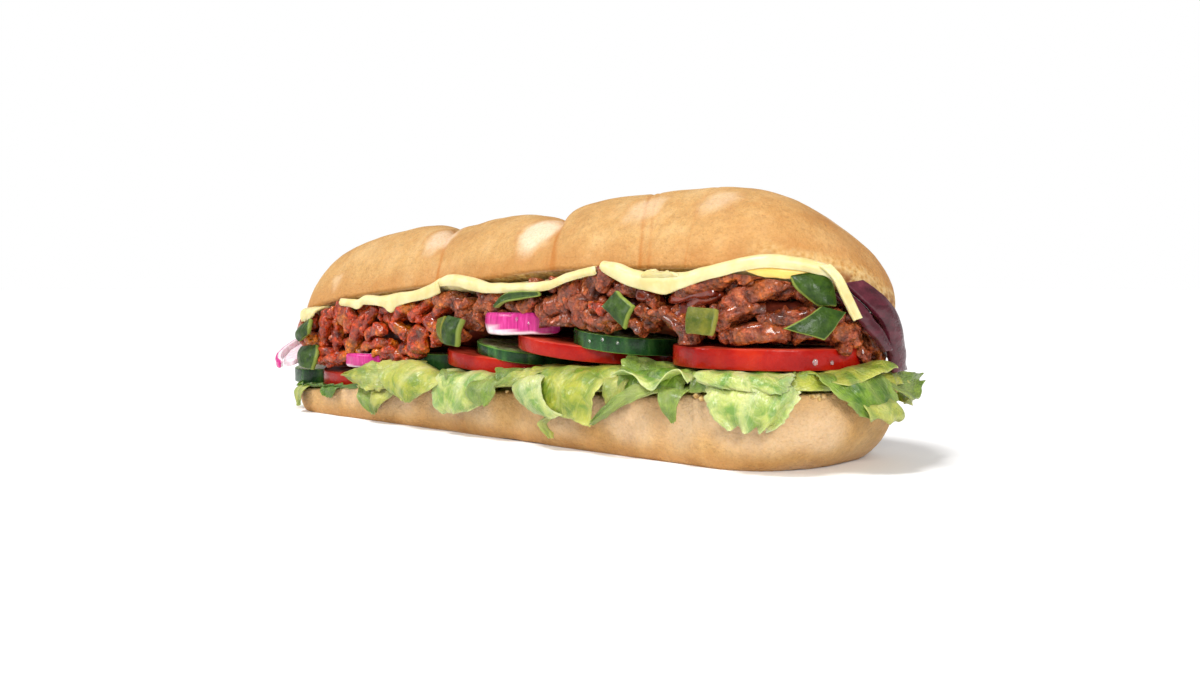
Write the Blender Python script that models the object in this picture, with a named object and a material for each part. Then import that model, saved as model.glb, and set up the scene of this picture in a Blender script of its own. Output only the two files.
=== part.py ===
"""Filled submarine sandwich: a long roll hinged at the back, with salad, beef and cheese.

Metres, +Z up, the roll along X with its open side toward -Y. The base rests on z = 0.
"""
import math
import random

import bmesh
import bpy
from mathutils import Vector

MM = 0.001
rng = random.Random(41)

# Roll: plan of the lower half (mm)
HALF_WIDTH = 38.0
FLANK_NEAR, FLANK_FAR = 107.0, -113.0
CAP_NEAR, CAP_FAR = 43.0, 34.0
BASE_CLIP = 5.8

# Roll: upper half, opened about the hinge at the back
TILT = math.radians(18.0)
LID_WIDTH = 78.0
LID_NEAR, LID_FAR = 149.0, -147.0
LID_CAP_NEAR, LID_CAP_FAR = 43.0, 38.0
LID_Y = 0.9
SEAMS = (-50.0, 16.5)
FINE_SEAMS = (61.0, 92.0)
SEAM_SLANT = 0.7
HINGE = (-96.0, 92.0, 28.5, 36.6)

SHEET_GAP = 0.5
LIP_INSET = 1.2


def ramp(points, x):
    """Smooth height through a few stations along the roll."""
    if x <= points[0][0]:
        return points[0][1]
    for (xa, va), (xb, vb) in zip(points, points[1:]):
        if x <= xb:
            f = (x - xa) / (xb - xa)
            return va + (vb - va) * f
    return points[-1][1]


def smooth(a, b, x):
    t = min(1.0, max(0.0, (x - a) / (b - a)))
    return t * t * (3.0 - 2.0 * t)


def floor_cut(x):
    """Height of the cut face of the lower half."""
    return ramp(((-150, 9.0), (-118, 10.5), (-49, 16.0), (13, 18.2), (65, 20.0), (109, 23.0), (150, 25.0)), x)


def lip(x):
    """Height of the front edge of the upper half."""
    return ramp(((-150, 43.0), (-118, 46.5), (-89, 51.0), (-10, 58.0), (54, 62.6), (150, 62.8)), x)


def lid_axis(x):
    return lip(x) - LID_WIDTH / 2 * math.sin(TILT)


def lid_under(x, y):
    """Height of the cut face of the upper half."""
    return lid_axis(x) - (y - LID_Y) * math.tan(TILT)


def cap(x, near, far, length_near, length_far):
    """Width factor of a plan with two rounded ends."""
    if x > near - length_near:
        u = (x - near + length_near) / length_near
    elif x < far + length_far:
        u = (far + length_far - x) / length_far
    else:
        return 1.0
    return math.sqrt(max(0.0, 1.0 - min(1.0, u) ** 2))


def finish(name, bm, color, roughness=0.5, flat=False):
    """Mesh, millimetres to metres, its own material, linked to the part's collection."""
    bmesh.ops.scale(bm, vec=(MM, MM, MM), verts=bm.verts)
    bmesh.ops.recalc_face_normals(bm, faces=bm.faces)
    mesh = bpy.data.meshes.new(name)
    bm.to_mesh(mesh)
    bm.free()
    for p in mesh.polygons:
        p.use_smooth = not flat
    mat = bpy.data.materials.new(name)
    mat.use_nodes = True
    shader = mat.node_tree.nodes["Principled BSDF"]
    shader.inputs["Base Color"].default_value = (*color, 1.0)
    shader.inputs["Roughness"].default_value = roughness
    mesh.materials.append(mat)
    ob = bpy.data.objects.new(name, mesh)
    sandwich.objects.link(ob)
    return ob


def loft(stations, around, place):
    """Ball reshaped by place(), which gets each point's station i along X and step j around."""
    bm = bmesh.new()
    bmesh.ops.create_uvsphere(bm, u_segments=around, v_segments=stations, radius=1.0)
    for v in bm.verts:
        i = round(math.acos(max(-1.0, min(1.0, v.co.z))) / math.pi * stations)
        j = round(math.atan2(v.co.y, v.co.x) / (2 * math.pi) * around) % around
        v.co = place(i, j)
    return bm


# Roll
LOWER_X = [-147, -145.5, -142, -136, -127, -113, -95, -70, -45, -20, 5, 30, 55, 80, 98, 110, 122, 133, 141,
           147, 149.5, 150]


def lower_half():
    around = 18
    n = len(LOWER_X) - 1

    def place(i, j):
        x = LOWER_X[i]
        w = HALF_WIDTH * cap(x, FLANK_NEAR + CAP_NEAR, FLANK_FAR - CAP_FAR, CAP_NEAR, CAP_FAR)
        cut = floor_cut(x)
        end = cap(x, 150, -147, 37, 38)
        depth = (cut + BASE_CLIP) * end
        a = 2 * math.pi * j / around
        c, s = math.cos(a), math.sin(a)
        if s >= -1e-6:
            y = w * math.copysign(abs(c) ** 0.8, c)
            return Vector((x, y, cut if s > 0.05 else cut - min(2.0, w * 0.2)))
        y = w * math.copysign(abs(c) ** (1.0 - 0.5 * end), c)
        return Vector((x, y, max(0.0, cut - depth * abs(s) ** 0.5)))

    bm = loft(n, around, place)
    return finish("lower_half", bm, (0.80, 0.55, 0.30), 0.6)


LID_S = [-147, -145.5, -142, -136, -126, -110, -90, -72, -60, -54, -50, -46, -38, -24, -6, 6, 12.5, 16.5, 20.5, 27,
         40, 56, 61, 66, 80, 92, 104, 118, 129, 138, 144.5, 148, 149]


def crown(s):
    """Highest line of the upper half, lobe by lobe."""
    ends = ramp(((-147, 46), (-145.5, 51), (-142, 56.5), (-136, 62), (-126, 68.5), (-110, 74.8), (-90, 79.0), (-70, 80.8),
                 (-54, 81.2)), s)
    middle = ramp(((-50, 79.0), (-38, 79.6), (-24, 81.8), (-6, 82.6), (12, 82.2)), s)
    near = ramp(((16.5, 83.0), (27, 85.2), (40, 87.0), (60, 88.0), (92, 88.6), (104, 87.8), (118, 83.9), (129, 78.3),
                 (138, 71.6), (144.5, 64.5), (148, 57.0), (149, 52.0)), s)
    if s <= SEAMS[0]:
        return ends
    return middle if s <= SEAMS[1] else near


def seam_depth(s):
    d = 0.0
    for k, deep, before, after in ((SEAMS[0], 3.2, 5.0, 8.0), (SEAMS[1], 4.0, 6.0, 10.0),
                                   (FINE_SEAMS[0], 0.8, 3.0, 4.0), (FINE_SEAMS[1], 0.5, 3.0, 4.0)):
        off = s - k
        d += deep * math.exp(-abs(off) / (after if off > 0 else before))
    return d


def upper_half():
    around = 24
    n = len(LID_S) - 1
    half = LID_WIDTH / 2

    def place(i, j):
        s = LID_S[i]
        w = half * cap(s, LID_NEAR, LID_FAR, LID_CAP_NEAR, LID_CAP_FAR)
        a = 2 * math.pi * j / around
        c, d = math.cos(a), math.sin(a)
        if d < -0.05:
            across, up = w * math.copysign(abs(c) ** 0.9, c), 0.0
        else:
            across = w * math.copysign(abs(c) ** 0.78, c)
            up = max(0.0, d) ** 0.86
            if abs(c) > 0.99:
                up = 0.045
        rise = (crown(s) - lid_axis(s) - 2.4 * w / half) / math.cos(TILT)
        front = 0.55 + 0.45 * smooth(-0.9, 0.2, across / half)
        up *= max(0.6, rise - seam_depth(s) * front)
        y = LID_Y - across * math.cos(TILT) + up * math.sin(TILT)
        z = across * math.sin(TILT) + up * math.cos(TILT)
        slant = SEAM_SLANT * (1 - smooth(62, 118, s)) * (1 - smooth(-66, -118, s))
        x = s - slant * y
        return Vector((x, y, lid_axis(x) + z))

    bm = loft(n, around, place)
    return finish("upper_half", bm, (0.78, 0.50, 0.25), 0.6)


def hinge():
    """Uncut crumb and crust along the back that holds the halves together."""
    x0, x1, y0, y1 = HINGE
    bm = bmesh.new()
    bmesh.ops.create_cube(bm, size=1.0)
    bmesh.ops.subdivide_edges(bm, edges=[e for e in bm.edges if abs(e.verts[0].co.x - e.verts[1].co.x) > 0.5], cuts=9)
    for v in bm.verts:
        x = x0 + (x1 - x0) * (v.co.x + 0.5)
        y = y1 if v.co.y > 0 else y0
        v.co = Vector((x, y, lid_under(x, y) + 3.0 if v.co.z > 0 else floor_cut(x) - 3.0))
    return finish("hinge", bm, (0.78, 0.50, 0.25), 0.6)


def join(name, pieces, solver="EXACT"):
    """One solid out of overlapping pieces."""
    group = bpy.data.collections.new(name + "_pieces")
    bpy.context.scene.collection.children.link(group)
    for ob in pieces[1:]:
        sandwich.objects.unlink(ob)
        group.objects.link(ob)
    body = pieces[0]
    mod = body.modifiers.new("join", "BOOLEAN")
    mod.operation = "UNION"
    mod.operand_type = "COLLECTION"
    mod.collection = group
    mod.solver = solver
    deps = bpy.context.evaluated_depsgraph_get()
    mesh = bpy.data.meshes.new_from_object(body.evaluated_get(deps))
    body.modifiers.clear()
    body.data = mesh
    for ob in list(group.objects):
        bpy.data.objects.remove(ob)
    bpy.data.collections.remove(group)
    keep_outer_shell(mesh)
    body.name = name
    mesh.name = name
    return body


def keep_outer_shell(mesh):
    """Fills sealed hollows and drops loose scraps and folded faces, leaving the largest closed shell."""
    bm = bmesh.new()
    bm.from_mesh(mesh)
    bmesh.ops.triangulate(bm, faces=bm.faces)
    same = {}
    for face in bm.faces:
        same.setdefault(frozenset(v.index for v in face.verts), []).append(face)
    bmesh.ops.delete(bm, geom=[f for pair in same.values() if len(pair) > 1 for f in pair], context="FACES")
    left = set(bm.faces)
    shells = []
    while left:
        shell, edge = set(), [next(iter(left))]
        while edge:
            face = edge.pop()
            if face in shell:
                continue
            shell.add(face)
            edge += [g for e in face.edges for g in e.link_faces if g not in shell]
        left -= shell
        shells.append(shell)
    size = [max(f.calc_center_median().x for f in s) - min(f.calc_center_median().x for f in s) for s in shells]
    main = shells[size.index(max(size))]
    bmesh.ops.delete(bm, geom=[f for f in bm.faces if f not in main], context="FACES")
    bm.to_mesh(mesh)
    bm.free()


# Sheets on the rims
def rim(s):
    """Point and outward direction on the rim of the lower half; s runs along the rim, equal to x on the flank."""
    if s > FLANK_NEAR:
        a = -math.pi / 2 + (s - FLANK_NEAR) / 40.5
        x0, ax = FLANK_NEAR, CAP_NEAR
    elif s < FLANK_FAR:
        a = -math.pi / 2 - (FLANK_FAR - s) / 36.0
        x0, ax = FLANK_FAR, CAP_FAR
    else:
        return Vector((s, -HALF_WIDTH)), Vector((0.0, -1.0))
    out = Vector((math.cos(a) / ax, math.sin(a) / HALF_WIDTH)).normalized()
    return Vector((x0 + ax * math.cos(a), HALF_WIDTH * math.sin(a))), out


def sheet(name, color, path, nu, nv, thick, roughness=0.4):
    """Thin closed sheet: path(u, v) gives a point and the direction of its thickness."""
    bm = bmesh.new()
    bmesh.ops.create_grid(bm, x_segments=nu, y_segments=nv, size=0.5)
    verts = list(bm.verts)
    tops = {}
    for v in verts:
        p, n = path(v.co.x + 0.5, v.co.y + 0.5)
        tops[v] = (p, n.normalized())
    bmesh.ops.triangulate(bm, faces=bm.faces, quad_method="ALTERNATE")
    grown = bmesh.ops.extrude_face_region(bm, geom=list(bm.faces))
    upper = [g for g in grown["geom"] if isinstance(g, bmesh.types.BMVert)]
    base = [(v.co.copy(), v) for v in upper]
    key = {(round(v.co.x, 5), round(v.co.y, 5)): tops[v] for v in verts}
    for co, v in base:
        p, n = key[(round(co.x, 5), round(co.y, 5))]
        v.co = p + n * thick
    for v in verts:
        v.co = tops[v][0]
    return finish(name, bm, color, roughness)


def leaf(name, s0, s1, inside, reach, bend, wave, ruffle, color, lift=SHEET_GAP, tip=0.0, thick=0.9, puff=1.5, taper=0.3, nu=9, nv=6):
    """Leaf lying on the lower cut face, over the rim and down or out by reach(u)."""
    phase = rng.uniform(0, 6)
    waves = rng.uniform(2.2, 3.4)

    def path(u, v):
        edge = smooth(0.25, 1.0, v)
        centre, out = rim(s0 + (s1 - s0) * (0.5 + (u - 0.5) * (1.0 - taper * edge)))
        width = math.sin(math.pi * min(0.98, max(0.02, u))) ** 0.45
        back = inside * (0.6 + 0.4 * width)
        front = reach(u)
        q = -back + (back + front) * v
        swell = wave * (0.12 + edge) * (0.5 + 0.5 * math.sin(phase + 2 * math.pi * waves * u + 2.0 * v))
        swell += puff * (1 - edge) * (0.5 + 0.5 * math.cos(1.7 * phase + 11.0 * u + 5.0 * v)) * smooth(0.0, 0.2, v)
        swell += ruffle * edge * (0.5 + 0.5 * math.sin(2.3 * phase + 6.8 * math.pi * waves * u * 0.9))
        d = lift + 2.0
        if q < 0:
            r, z, nr, nz = q, lift, 0.0, 1.0
        else:
            a = min(bend, q / d)
            run = q - a * d
            r = d * math.sin(a) + run * math.cos(a)
            z = lift - d * (1 - math.cos(a)) - run * math.sin(a)
            nr, nz = math.sin(a), math.cos(a)
            r, z = r + 0.4 * min(1.0, q), z + 0.0
        r += nr * swell
        z += nz * swell + tip * max(0.0, u - 0.7) * edge
        x, y = centre.x + out.x * r, centre.y + out.y * r
        cut = floor_cut(max(-150.0, min(150.0, centre.x if q > 0 else x)))
        return Vector((x, y, cut + z)), Vector((out.x * nr, out.y * nr, nz))

    return sheet(name, color, path, nu, nv, thick)


def lid_rim(s):
    """Point and outward direction on the rim of the upper half."""
    half = LID_WIDTH / 2 * math.cos(TILT)
    start = LID_NEAR - LID_CAP_NEAR
    if s > start:
        a = -math.pi / 2 + (s - start) / 42.0
        out = Vector((math.cos(a) / LID_CAP_NEAR, math.sin(a) / half)).normalized()
        return Vector((start + LID_CAP_NEAR * math.cos(a), LID_Y + half * math.sin(a))), out
    return Vector((s, LID_Y - half)), Vector((0.0, -1.0))


def cheese(name, s0, s1, inside, hang, under=SHEET_GAP, thick=1.8, nu=12, nv=6, wave=0.5):
    """Slice under the upper half, its front edge folded down over the beef by hang(u)."""
    phase = rng.uniform(0, 6)

    def path(u, v):
        centre, out = lid_rim(s0 + (s1 - s0) * u)
        drop = hang(u)
        q = -inside + (inside + 3.0 + drop) * v
        round_r = 3.2 + under
        bow = wave * smooth(0.5, 1.0, v) * math.sin(phase + 9.0 * u)
        if q < 0:
            r, z, nr, nz = q, 0.0, 0.0, -1.0
        else:
            a = min(math.radians(80), q / round_r)
            run = q - a * round_r
            r = round_r * math.sin(a) + run * math.cos(a)
            z = -round_r * (1 - math.cos(a)) - run * math.sin(a)
            nr, nz = -math.sin(a), -math.cos(a)
        r -= LIP_INSET
        x, y = centre.x + out.x * (r + nr * bow), centre.y + out.y * (r + nr * bow)
        plane = lid_under(x, y) if q < 0 else lid_under(centre.x - out.x * LIP_INSET, centre.y - out.y * LIP_INSET)
        n = Vector((out.x * nr, out.y * nr, nz))
        return Vector((x, y, plane + z - under)), n

    return sheet(name, (0.92, 0.80, 0.42), path, nu, nv, thick, 0.35)


# Slices and strips
def slice_disc(name, color, x, y, z, radius, thick, tilt_x=0.0, tilt_y=0.0, rim_bevel=1.2, sides=26):
    """Round slice, z its middle height, tilted a little about both axes (degrees)."""
    bm = bmesh.new()
    bmesh.ops.create_cone(bm, cap_ends=True, segments=sides, radius1=radius, radius2=radius, depth=thick)
    edges = [e for e in bm.edges if abs(e.verts[0].co.z - e.verts[1].co.z) < 0.01]
    bmesh.ops.bevel(bm, geom=edges, offset=rim_bevel, segments=1, affect="EDGES", profile=0.5)
    ax, ay = math.tan(math.radians(tilt_x)), math.tan(math.radians(tilt_y))
    lobe = rng.uniform(0, 6)
    for v in bm.verts:
        a = math.atan2(v.co.y, v.co.x)
        k = 1 + 0.018 * math.sin(3 * a + lobe) + 0.008 * math.sin(5 * a)
        px, py = v.co.x * k, v.co.y * k
        v.co = Vector((x + px, y + py, z + v.co.z + px * ay + py * ax))
    return finish(name, bm, color, 0.25)


def arc_strip(name, color, centre, radius, a0, a1, width, height, steps=9, tilt=(0.0, 0.0), taper=0.45, roll=0.0):
    """Bent strip: a rounded bar swept about a centre from angle a0 to a1 (degrees), in the horizontal plane."""
    bm = bmesh.new()
    bmesh.ops.create_cube(bm, size=1.0)
    long_edges = [e for e in bm.edges if abs(e.verts[0].co.x - e.verts[1].co.x) > 0.5]
    bmesh.ops.bevel(bm, geom=long_edges, offset=0.22, segments=1, affect="EDGES", profile=0.5)
    long_edges = [e for e in bm.edges if abs(e.verts[0].co.x - e.verts[1].co.x) > 0.5]
    bmesh.ops.subdivide_edges(bm, edges=long_edges, cuts=steps - 1)
    tx, ty = (math.tan(math.radians(t)) for t in tilt)
    for v in bm.verts:
        f = v.co.x + 0.5
        a = math.radians(a0 + (a1 - a0) * f)
        thin = 1 - taper * abs(2 * f - 1) ** 3
        across, up = v.co.y * width * thin, v.co.z * height * (1 - 0.5 * taper * abs(2 * f - 1) ** 3)
        up += roll * across
        r = radius + across
        px, py = r * math.cos(a), r * math.sin(a)
        v.co = Vector((centre[0] + px, centre[1] + py, centre[2] + up + px * ty + (py + radius) * tx))
    return finish(name, bm, color, 0.3)


def wall_strip(name, color, s, z, length, height, depth, turn=0.0, bow=0.0, out=0.0, lean=0.0, cuts=4):
    """Cut strip lying against the filling's face: length along the rim, height up, depth into the filling."""
    bm = bmesh.new()
    bmesh.ops.create_cube(bm, size=1.0)
    bmesh.ops.bevel(bm, geom=list(bm.edges), offset=0.14, segments=1, affect="EDGES", profile=0.5)
    long_edges = [e for e in bm.edges if abs(e.verts[0].co.x - e.verts[1].co.x) > 0.6]
    bmesh.ops.subdivide_edges(bm, edges=long_edges, cuts=cuts)
    place_on_face(bm, s, z, length, height, depth, turn, bow, out, lean)
    return finish(name, bm, color, 0.3)


def place_on_face(bm, s, z, length, height, depth, turn, bow, out, lean):
    """Unit-size piece to its place on the filling's face."""
    c, k = math.cos(math.radians(turn)), math.sin(math.radians(turn))
    for v in bm.verts:
        a, up, deep = v.co.x * length, v.co.z * height, v.co.y * depth
        up += bow * (1 - (2 * v.co.x) ** 2)
        a, up = a * c - up * k, a * k + up * c
        centre, away = rim(s + a)
        r = out + lean * up - (0.5 * depth + deep)
        v.co = Vector((centre.x + away.x * r, centre.y + away.y * r, z + up))


# Beef
def heap_top(x, y):
    return lid_under(x, max(y, -36.0)) - 3.1


def heap_floor(x):
    return ramp(((-142, 27.8), (-128, 26.5), (-95, 25.0), (-66, 25.5), (-45, 26.0), (-36, 28.8), (-16, 32.9), (4, 39.4),
                 (8, 40.6), (30, 38.6), (38, 42.3), (42, 42.5), (78, 38.9), (86, 38.4), (146.5, 38.4), (149, 32.0)), x)


def clamp_heap(v):
    """Keeps the beef clear of the cheese above and the slices below."""
    low = heap_floor(v.x) + SHEET_GAP + 0.3
    high = max(heap_top(v.x, v.y) - 0.4, low + 0.8)
    if v.z < low:
        v.z = low - 0.06 * (low - v.z)
    elif v.z > high:
        v.z = high + 0.06 * (v.z - high)


def beef_core():
    xs = [-141, -137, -126, -110, -92, -74, -56, -38, -20, -2, 16, 34, 50, 66, 82, 96, 110, 124, 136, 143]
    around = 10
    n = len(xs) - 1

    def place(i, j):
        x = xs[i]
        w = cap(x, 145, -143, 30, 26)
        a = 2 * math.pi * j / around
        y = -7.0 + 20.0 * w * math.copysign(abs(math.cos(a)) ** 0.7, math.cos(a))
        low, high = heap_floor(x) + 1.0, heap_top(x, y)
        mid = 0.5 * (low + high)
        p = Vector((x, y, mid + max(0.4, high - mid) * math.copysign(abs(math.sin(a)) ** 0.7, math.sin(a))))
        clamp_heap(p)
        return p

    bm = loft(n, around, place)
    return finish("beef_core", bm, (0.25, 0.09, 0.04), 0.35)


STRIPS = (
    # s, z, length, height, depth, turn, bow, out
    (116, 54.0, 25, 7.0, 15, 12, 1.5, -4.0), (130, 51.0, 20, 6.5, 15, 8, -1.0, -1.5), (125, 45.2, 17, 6.0, 15, 10, 0.0, -2.0),
    (143, 43.0, 22, 7.0, 15, -4, 1.0, -1.5), (104, 43.0, 13, 6.5, 16, -32, 1.0, -2.0), (95, 47.5, 22, 6.0, 15, -28, 2.0, -3.0),
    (160, 44.5, 15, 6.0, 14, -25, 1.0, -4.5), (168, 39.5, 14, 6.5, 13, -45, 0.0, -0.6), (178, 40.5, 12, 6.0, 12, -40, 0.0, -2.0),
    (104, 55.5, 22, 6.0, 14, 6, 1.0, -7.0), (83, 50.0, 17, 6.5, 15, 40, 0.0, -2.5), (70, 54.0, 15, 7.5, 15, 70, 0.0, -3.0),
    (64, 47.0, 15, 6.5, 15, 20, 1.0, -2.5), (56, 52.5, 13, 7.0, 14, -25, 0.0, -3.5), (86, 44.8, 16, 5.5, 15, -12, 1.0, -3.5),
    (48, 46.5, 15, 6.0, 14, 30, 0.0, -4.0), (15, 51.0, 20, 5.5, 14, -8, 1.5, -4.0), (36, 50.0, 15, 5.5, 14, 14, 0.0, -5.0),
    (-4, 48.5, 16, 5.5, 14, 10, 1.0, -3.5), (-24, 46.5, 17, 6.0, 14, -24, 1.0, -3.0), (-38, 44.5, 17, 6.0, 14, 30, 0.0, -3.0),
    (-22, 39.0, 14, 6.5, 14, 4, 0.0, -4.0), (-45, 37.5, 18, 6.0, 14, -30, 1.0, -3.0), (-60, 42.0, 20, 6.0, 14, 40, 1.0, -3.0),
    (-66, 36.5, 17, 5.5, 14, 8, 1.0, -3.0), (-78, 42.5, 19, 6.5, 14, -38, 1.5, -3.5), (-94, 39.0, 19, 6.5, 14, 32, 1.0, -3.0),
    (-88, 35.0, 18, 5.5, 14, -8, 0.0, -4.0), (-110, 38.0, 18, 6.5, 14, -30, 1.0, -3.0), (-108, 31.0, 18, 6.0, 14, 14, 1.0, -3.0),
    (-124, 35.0, 16, 6.0, 14, 24, 0.0, -3.0), (-138, 31.5, 16, 6.0, 13, -12, 0.0, -1.0), (-150, 34.5, 14, 6.0, 12, 20, 0.0, 1.5),
)


def beef():
    pieces = [beef_core()]
    for k, (s, z, length, height, depth, turn, bow, out) in enumerate(STRIPS):
        bm = bmesh.new()
        bmesh.ops.create_uvsphere(bm, u_segments=7, v_segments=5, radius=0.5)
        for v in bm.verts:
            p = v.co * 2
            v.co = Vector([0.5 * math.copysign(abs(c) ** 0.62, c) * (1 + rng.uniform(-0.1, 0.1)) for c in (p.z, p.x, p.y)])
        place_on_face(bm, s, z, length, height, depth, turn, bow, out, 0.0)
        for v in bm.verts:
            clamp_heap(v.co)
        pieces.append(finish("strip_%d" % k, bm, (0.25, 0.09, 0.04), 0.35))
    return join("beef", pieces)


# Assembly
for old in list(bpy.data.objects):
    bpy.data.objects.remove(old)
sandwich = bpy.data.collections.new("submarine_sandwich")
bpy.context.scene.collection.children.link(sandwich)

GREEN, PALE, LIGHT = (0.20, 0.42, 0.05), (0.60, 0.72, 0.32), (0.36, 0.56, 0.12)
RED, CUKE, DARK = (0.72, 0.07, 0.02), (0.45, 0.62, 0.22), (0.05, 0.16, 0.03)
ONION, PLUM = (0.55, 0.13, 0.35), (0.13, 0.02, 0.03)

join("roll", [lower_half(), upper_half(), hinge()])

leaf("leaf_near_end", 136, 206, 26, lambda u: 4 + 7 * u ** 2 + 3 * math.sin(9 * u), 0.5, 2.0, 1.2, GREEN, tip=14, puff=4.5, nu=12,
     taper=0.0)
leaf("leaf_crinkled", 107, 135, 24, lambda u: 10 + 4 * math.sin(3 * u), 1.35, 2.5, 1.4, PALE, puff=5.0)
leaf("leaf_wavy", 74, 105, 26, lambda u: 5 + 8 * math.exp(-((u - 0.8) / 0.16) ** 2), 1.2, 2.8, 1.2, LIGHT, puff=5.0, taper=0.1)
leaf("leaf_broad", 29, 73, 24, lambda u: 11 + 3 * math.sin(8 * u), 1.3, 2.6, 1.2, LIGHT, nu=12, puff=5.5)
leaf("leaf_pale", -20, 17, 24, lambda u: 9 + 2 * math.sin(7 * u), 1.25, 2.4, 1.0, PALE, puff=3.5)
leaf("leaf_pointed", -73, -23, 22, lambda u: 10 - 4 * abs(2 * u - 1) + 3 * math.sin(8 * u), 1.2, 2.0, 1.0, GREEN, puff=1.8)
leaf("leaf_far_end", -138, -102, 20, lambda u: 6 + 2 * math.sin(8 * u), 1.0, 1.2, 0.6, LIGHT, puff=0.4)

slice_disc("tomato_near", RED, 113.6, -6.0, 34.6, 31.5, 6.6)
slice_disc("tomato_middle", RED, 38.0, -8.0, 34.7, 30.0, 5.4, tilt_y=-5.5)
slice_disc("tomato_left", RED, -6.0, -8.0, 26.5, 29.0, 4.6)
slice_disc("tomato_far", RED, -95.0, -8.5, 20.4, 27.0, 4.2, tilt_x=5.0)

slice_disc("cucumber_near", CUKE, 59.0, -14.0, 38.0, 20.0, 4.4, tilt_y=-5.5)
slice_disc("cucumber_middle", CUKE, 4.7, -14.5, 31.0, 19.5, 3.6)
slice_disc("cucumber_left", CUKE, -41.0, -13.0, 22.1, 19.5, 3.2, tilt_x=1.0)
slice_disc("cucumber_far", CUKE, -137.0, -5.0, 14.7, 18.0, 3.2, tilt_x=3.0, sides=22)

arc_strip("onion_middle", ONION, (17.5, -18.5, 43.3), 19.5, -150, -25, 3.8, 7.4)
arc_strip("onion_left", ONION, (-75, -18, 28.0), 20.5, -142, -40, 3.6, 5.0)
arc_strip("onion_far", ONION, (-129, -19, 23.6), 21.5, -195, -105, 3.4, 5.6)
wall_strip("onion_plum", PLUM, 173, 41.0, 31, 5.0, 3.0, turn=-38, bow=3.0, out=4.2, cuts=6)

wall_strip("pepper_flat", DARK, 146, 44.6, 16, 7.5, 2.4, turn=10, out=5.0)
wall_strip("pepper_block", DARK, 110, 46.6, 9, 8.0, 3.4, turn=-4, out=3.4)
wall_strip("pepper_slant", DARK, 76, 48.4, 12.5, 6.0, 3.0, turn=-58, out=3.9)
wall_strip("pepper_long", DARK, 27, 52.0, 24, 2.8, 3.0, turn=10, bow=1.5, out=4.1, cuts=6)
wall_strip("pepper_left", DARK, -11, 38.6, 12, 8.0, 3.4, turn=60, out=2.6)
wall_strip("pepper_far", DARK, -124, 30.5, 9, 5.0, 3.0, turn=10, out=2.4)
wall_strip("pepper_behind", DARK, 147, 50.6, 11, 4.4, 2.6, turn=-10, out=-1.9)

cheese("cheese_near", 68, 150, 34, lambda u: 0.5 + 7.0 * math.exp(-((u - 0.27) / 0.2) ** 2) + 12 * smooth(0.86, 1.0, u))
cheese("cheese_middle", -16, 66.5, 32, lambda u: 1.0 + 3.0 * math.sin(math.pi * min(1, u * 1.1)))
cheese("cheese_far", -92, -18, 30, lambda u: 1.0 + 7.0 * math.exp(-((u - 0.58) / 0.22) ** 2))

beef()
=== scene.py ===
"""Filled submarine sandwich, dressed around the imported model.

Shapes are worked out in millimetres in the sandwich's own frame: +X along the roll, -Y its open side,
+Z up from the surface it rests on. shown() brings each piece to metres.
"""
import math
import random

import bmesh
import bpy
from mathutils import Matrix, Vector, noise


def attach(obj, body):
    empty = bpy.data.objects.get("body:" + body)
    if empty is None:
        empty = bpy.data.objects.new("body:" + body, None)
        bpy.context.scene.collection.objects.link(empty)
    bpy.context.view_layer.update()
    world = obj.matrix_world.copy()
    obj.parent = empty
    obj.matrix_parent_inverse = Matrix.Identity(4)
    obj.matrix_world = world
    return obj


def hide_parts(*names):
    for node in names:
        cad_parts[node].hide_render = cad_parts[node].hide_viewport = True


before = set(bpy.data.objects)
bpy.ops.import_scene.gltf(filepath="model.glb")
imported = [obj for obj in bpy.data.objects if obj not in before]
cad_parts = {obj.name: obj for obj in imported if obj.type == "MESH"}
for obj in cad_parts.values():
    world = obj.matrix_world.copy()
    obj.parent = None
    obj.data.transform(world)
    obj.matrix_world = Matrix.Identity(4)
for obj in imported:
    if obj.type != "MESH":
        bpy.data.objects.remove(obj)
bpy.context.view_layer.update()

MM = 0.001

# Lower half of the roll
HALF_WIDTH = 38.0
FLANK_NEAR, FLANK_FAR = 107.0, -113.0
CAP_NEAR, CAP_FAR = 43.0, 34.0
BASE_CLIP = 5.8

# Upper half, opened about the hinge at the back
TILT = math.radians(18.0)
LID_WIDTH = 78.0
LID_NEAR, LID_FAR = 149.0, -147.0
LID_CAP_NEAR, LID_CAP_FAR = 43.0, 38.0
LID_Y = 0.9
SEAMS = (-50.0, 16.5)
SEAM_SLANT = 0.7
HINGE = (-96.0, 92.0, 28.5, 36.6)

# Rim lengths per radian where the rims turn round the ends
RIM_TURN_NEAR, RIM_TURN_FAR = 40.5, 36.0
LID_RIM_TURN = 42.0

# Rounding of the cut edges
LIP_ROUND = 1.6
LOWER_LIP_ROUND = 1.4

# Clear height between the beef and the upper half, taken by the cheese
CHEESE_ROOM = 3.1

BREAD_LAYERS = ("toast_and_seam_shade", "flour_and_top_light", "ring", "crumb", "sauce")

# Photo camera
PHOTO_PLACE = (0.350, -0.321, 0.059)
PHOTO_DIP, PHOTO_TURN = 2.79, 45.0
PHOTO_LENS = 36.0
LAMP_AIM = (0.02, 0.0, 0.04)


# Shape helpers

def smooth(a, b, x):
    """Eased step from 0 at a to 1 at b."""
    t = min(1.0, max(0.0, (x - a) / (b - a)))
    return t * t * (3.0 - 2.0 * t)


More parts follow.
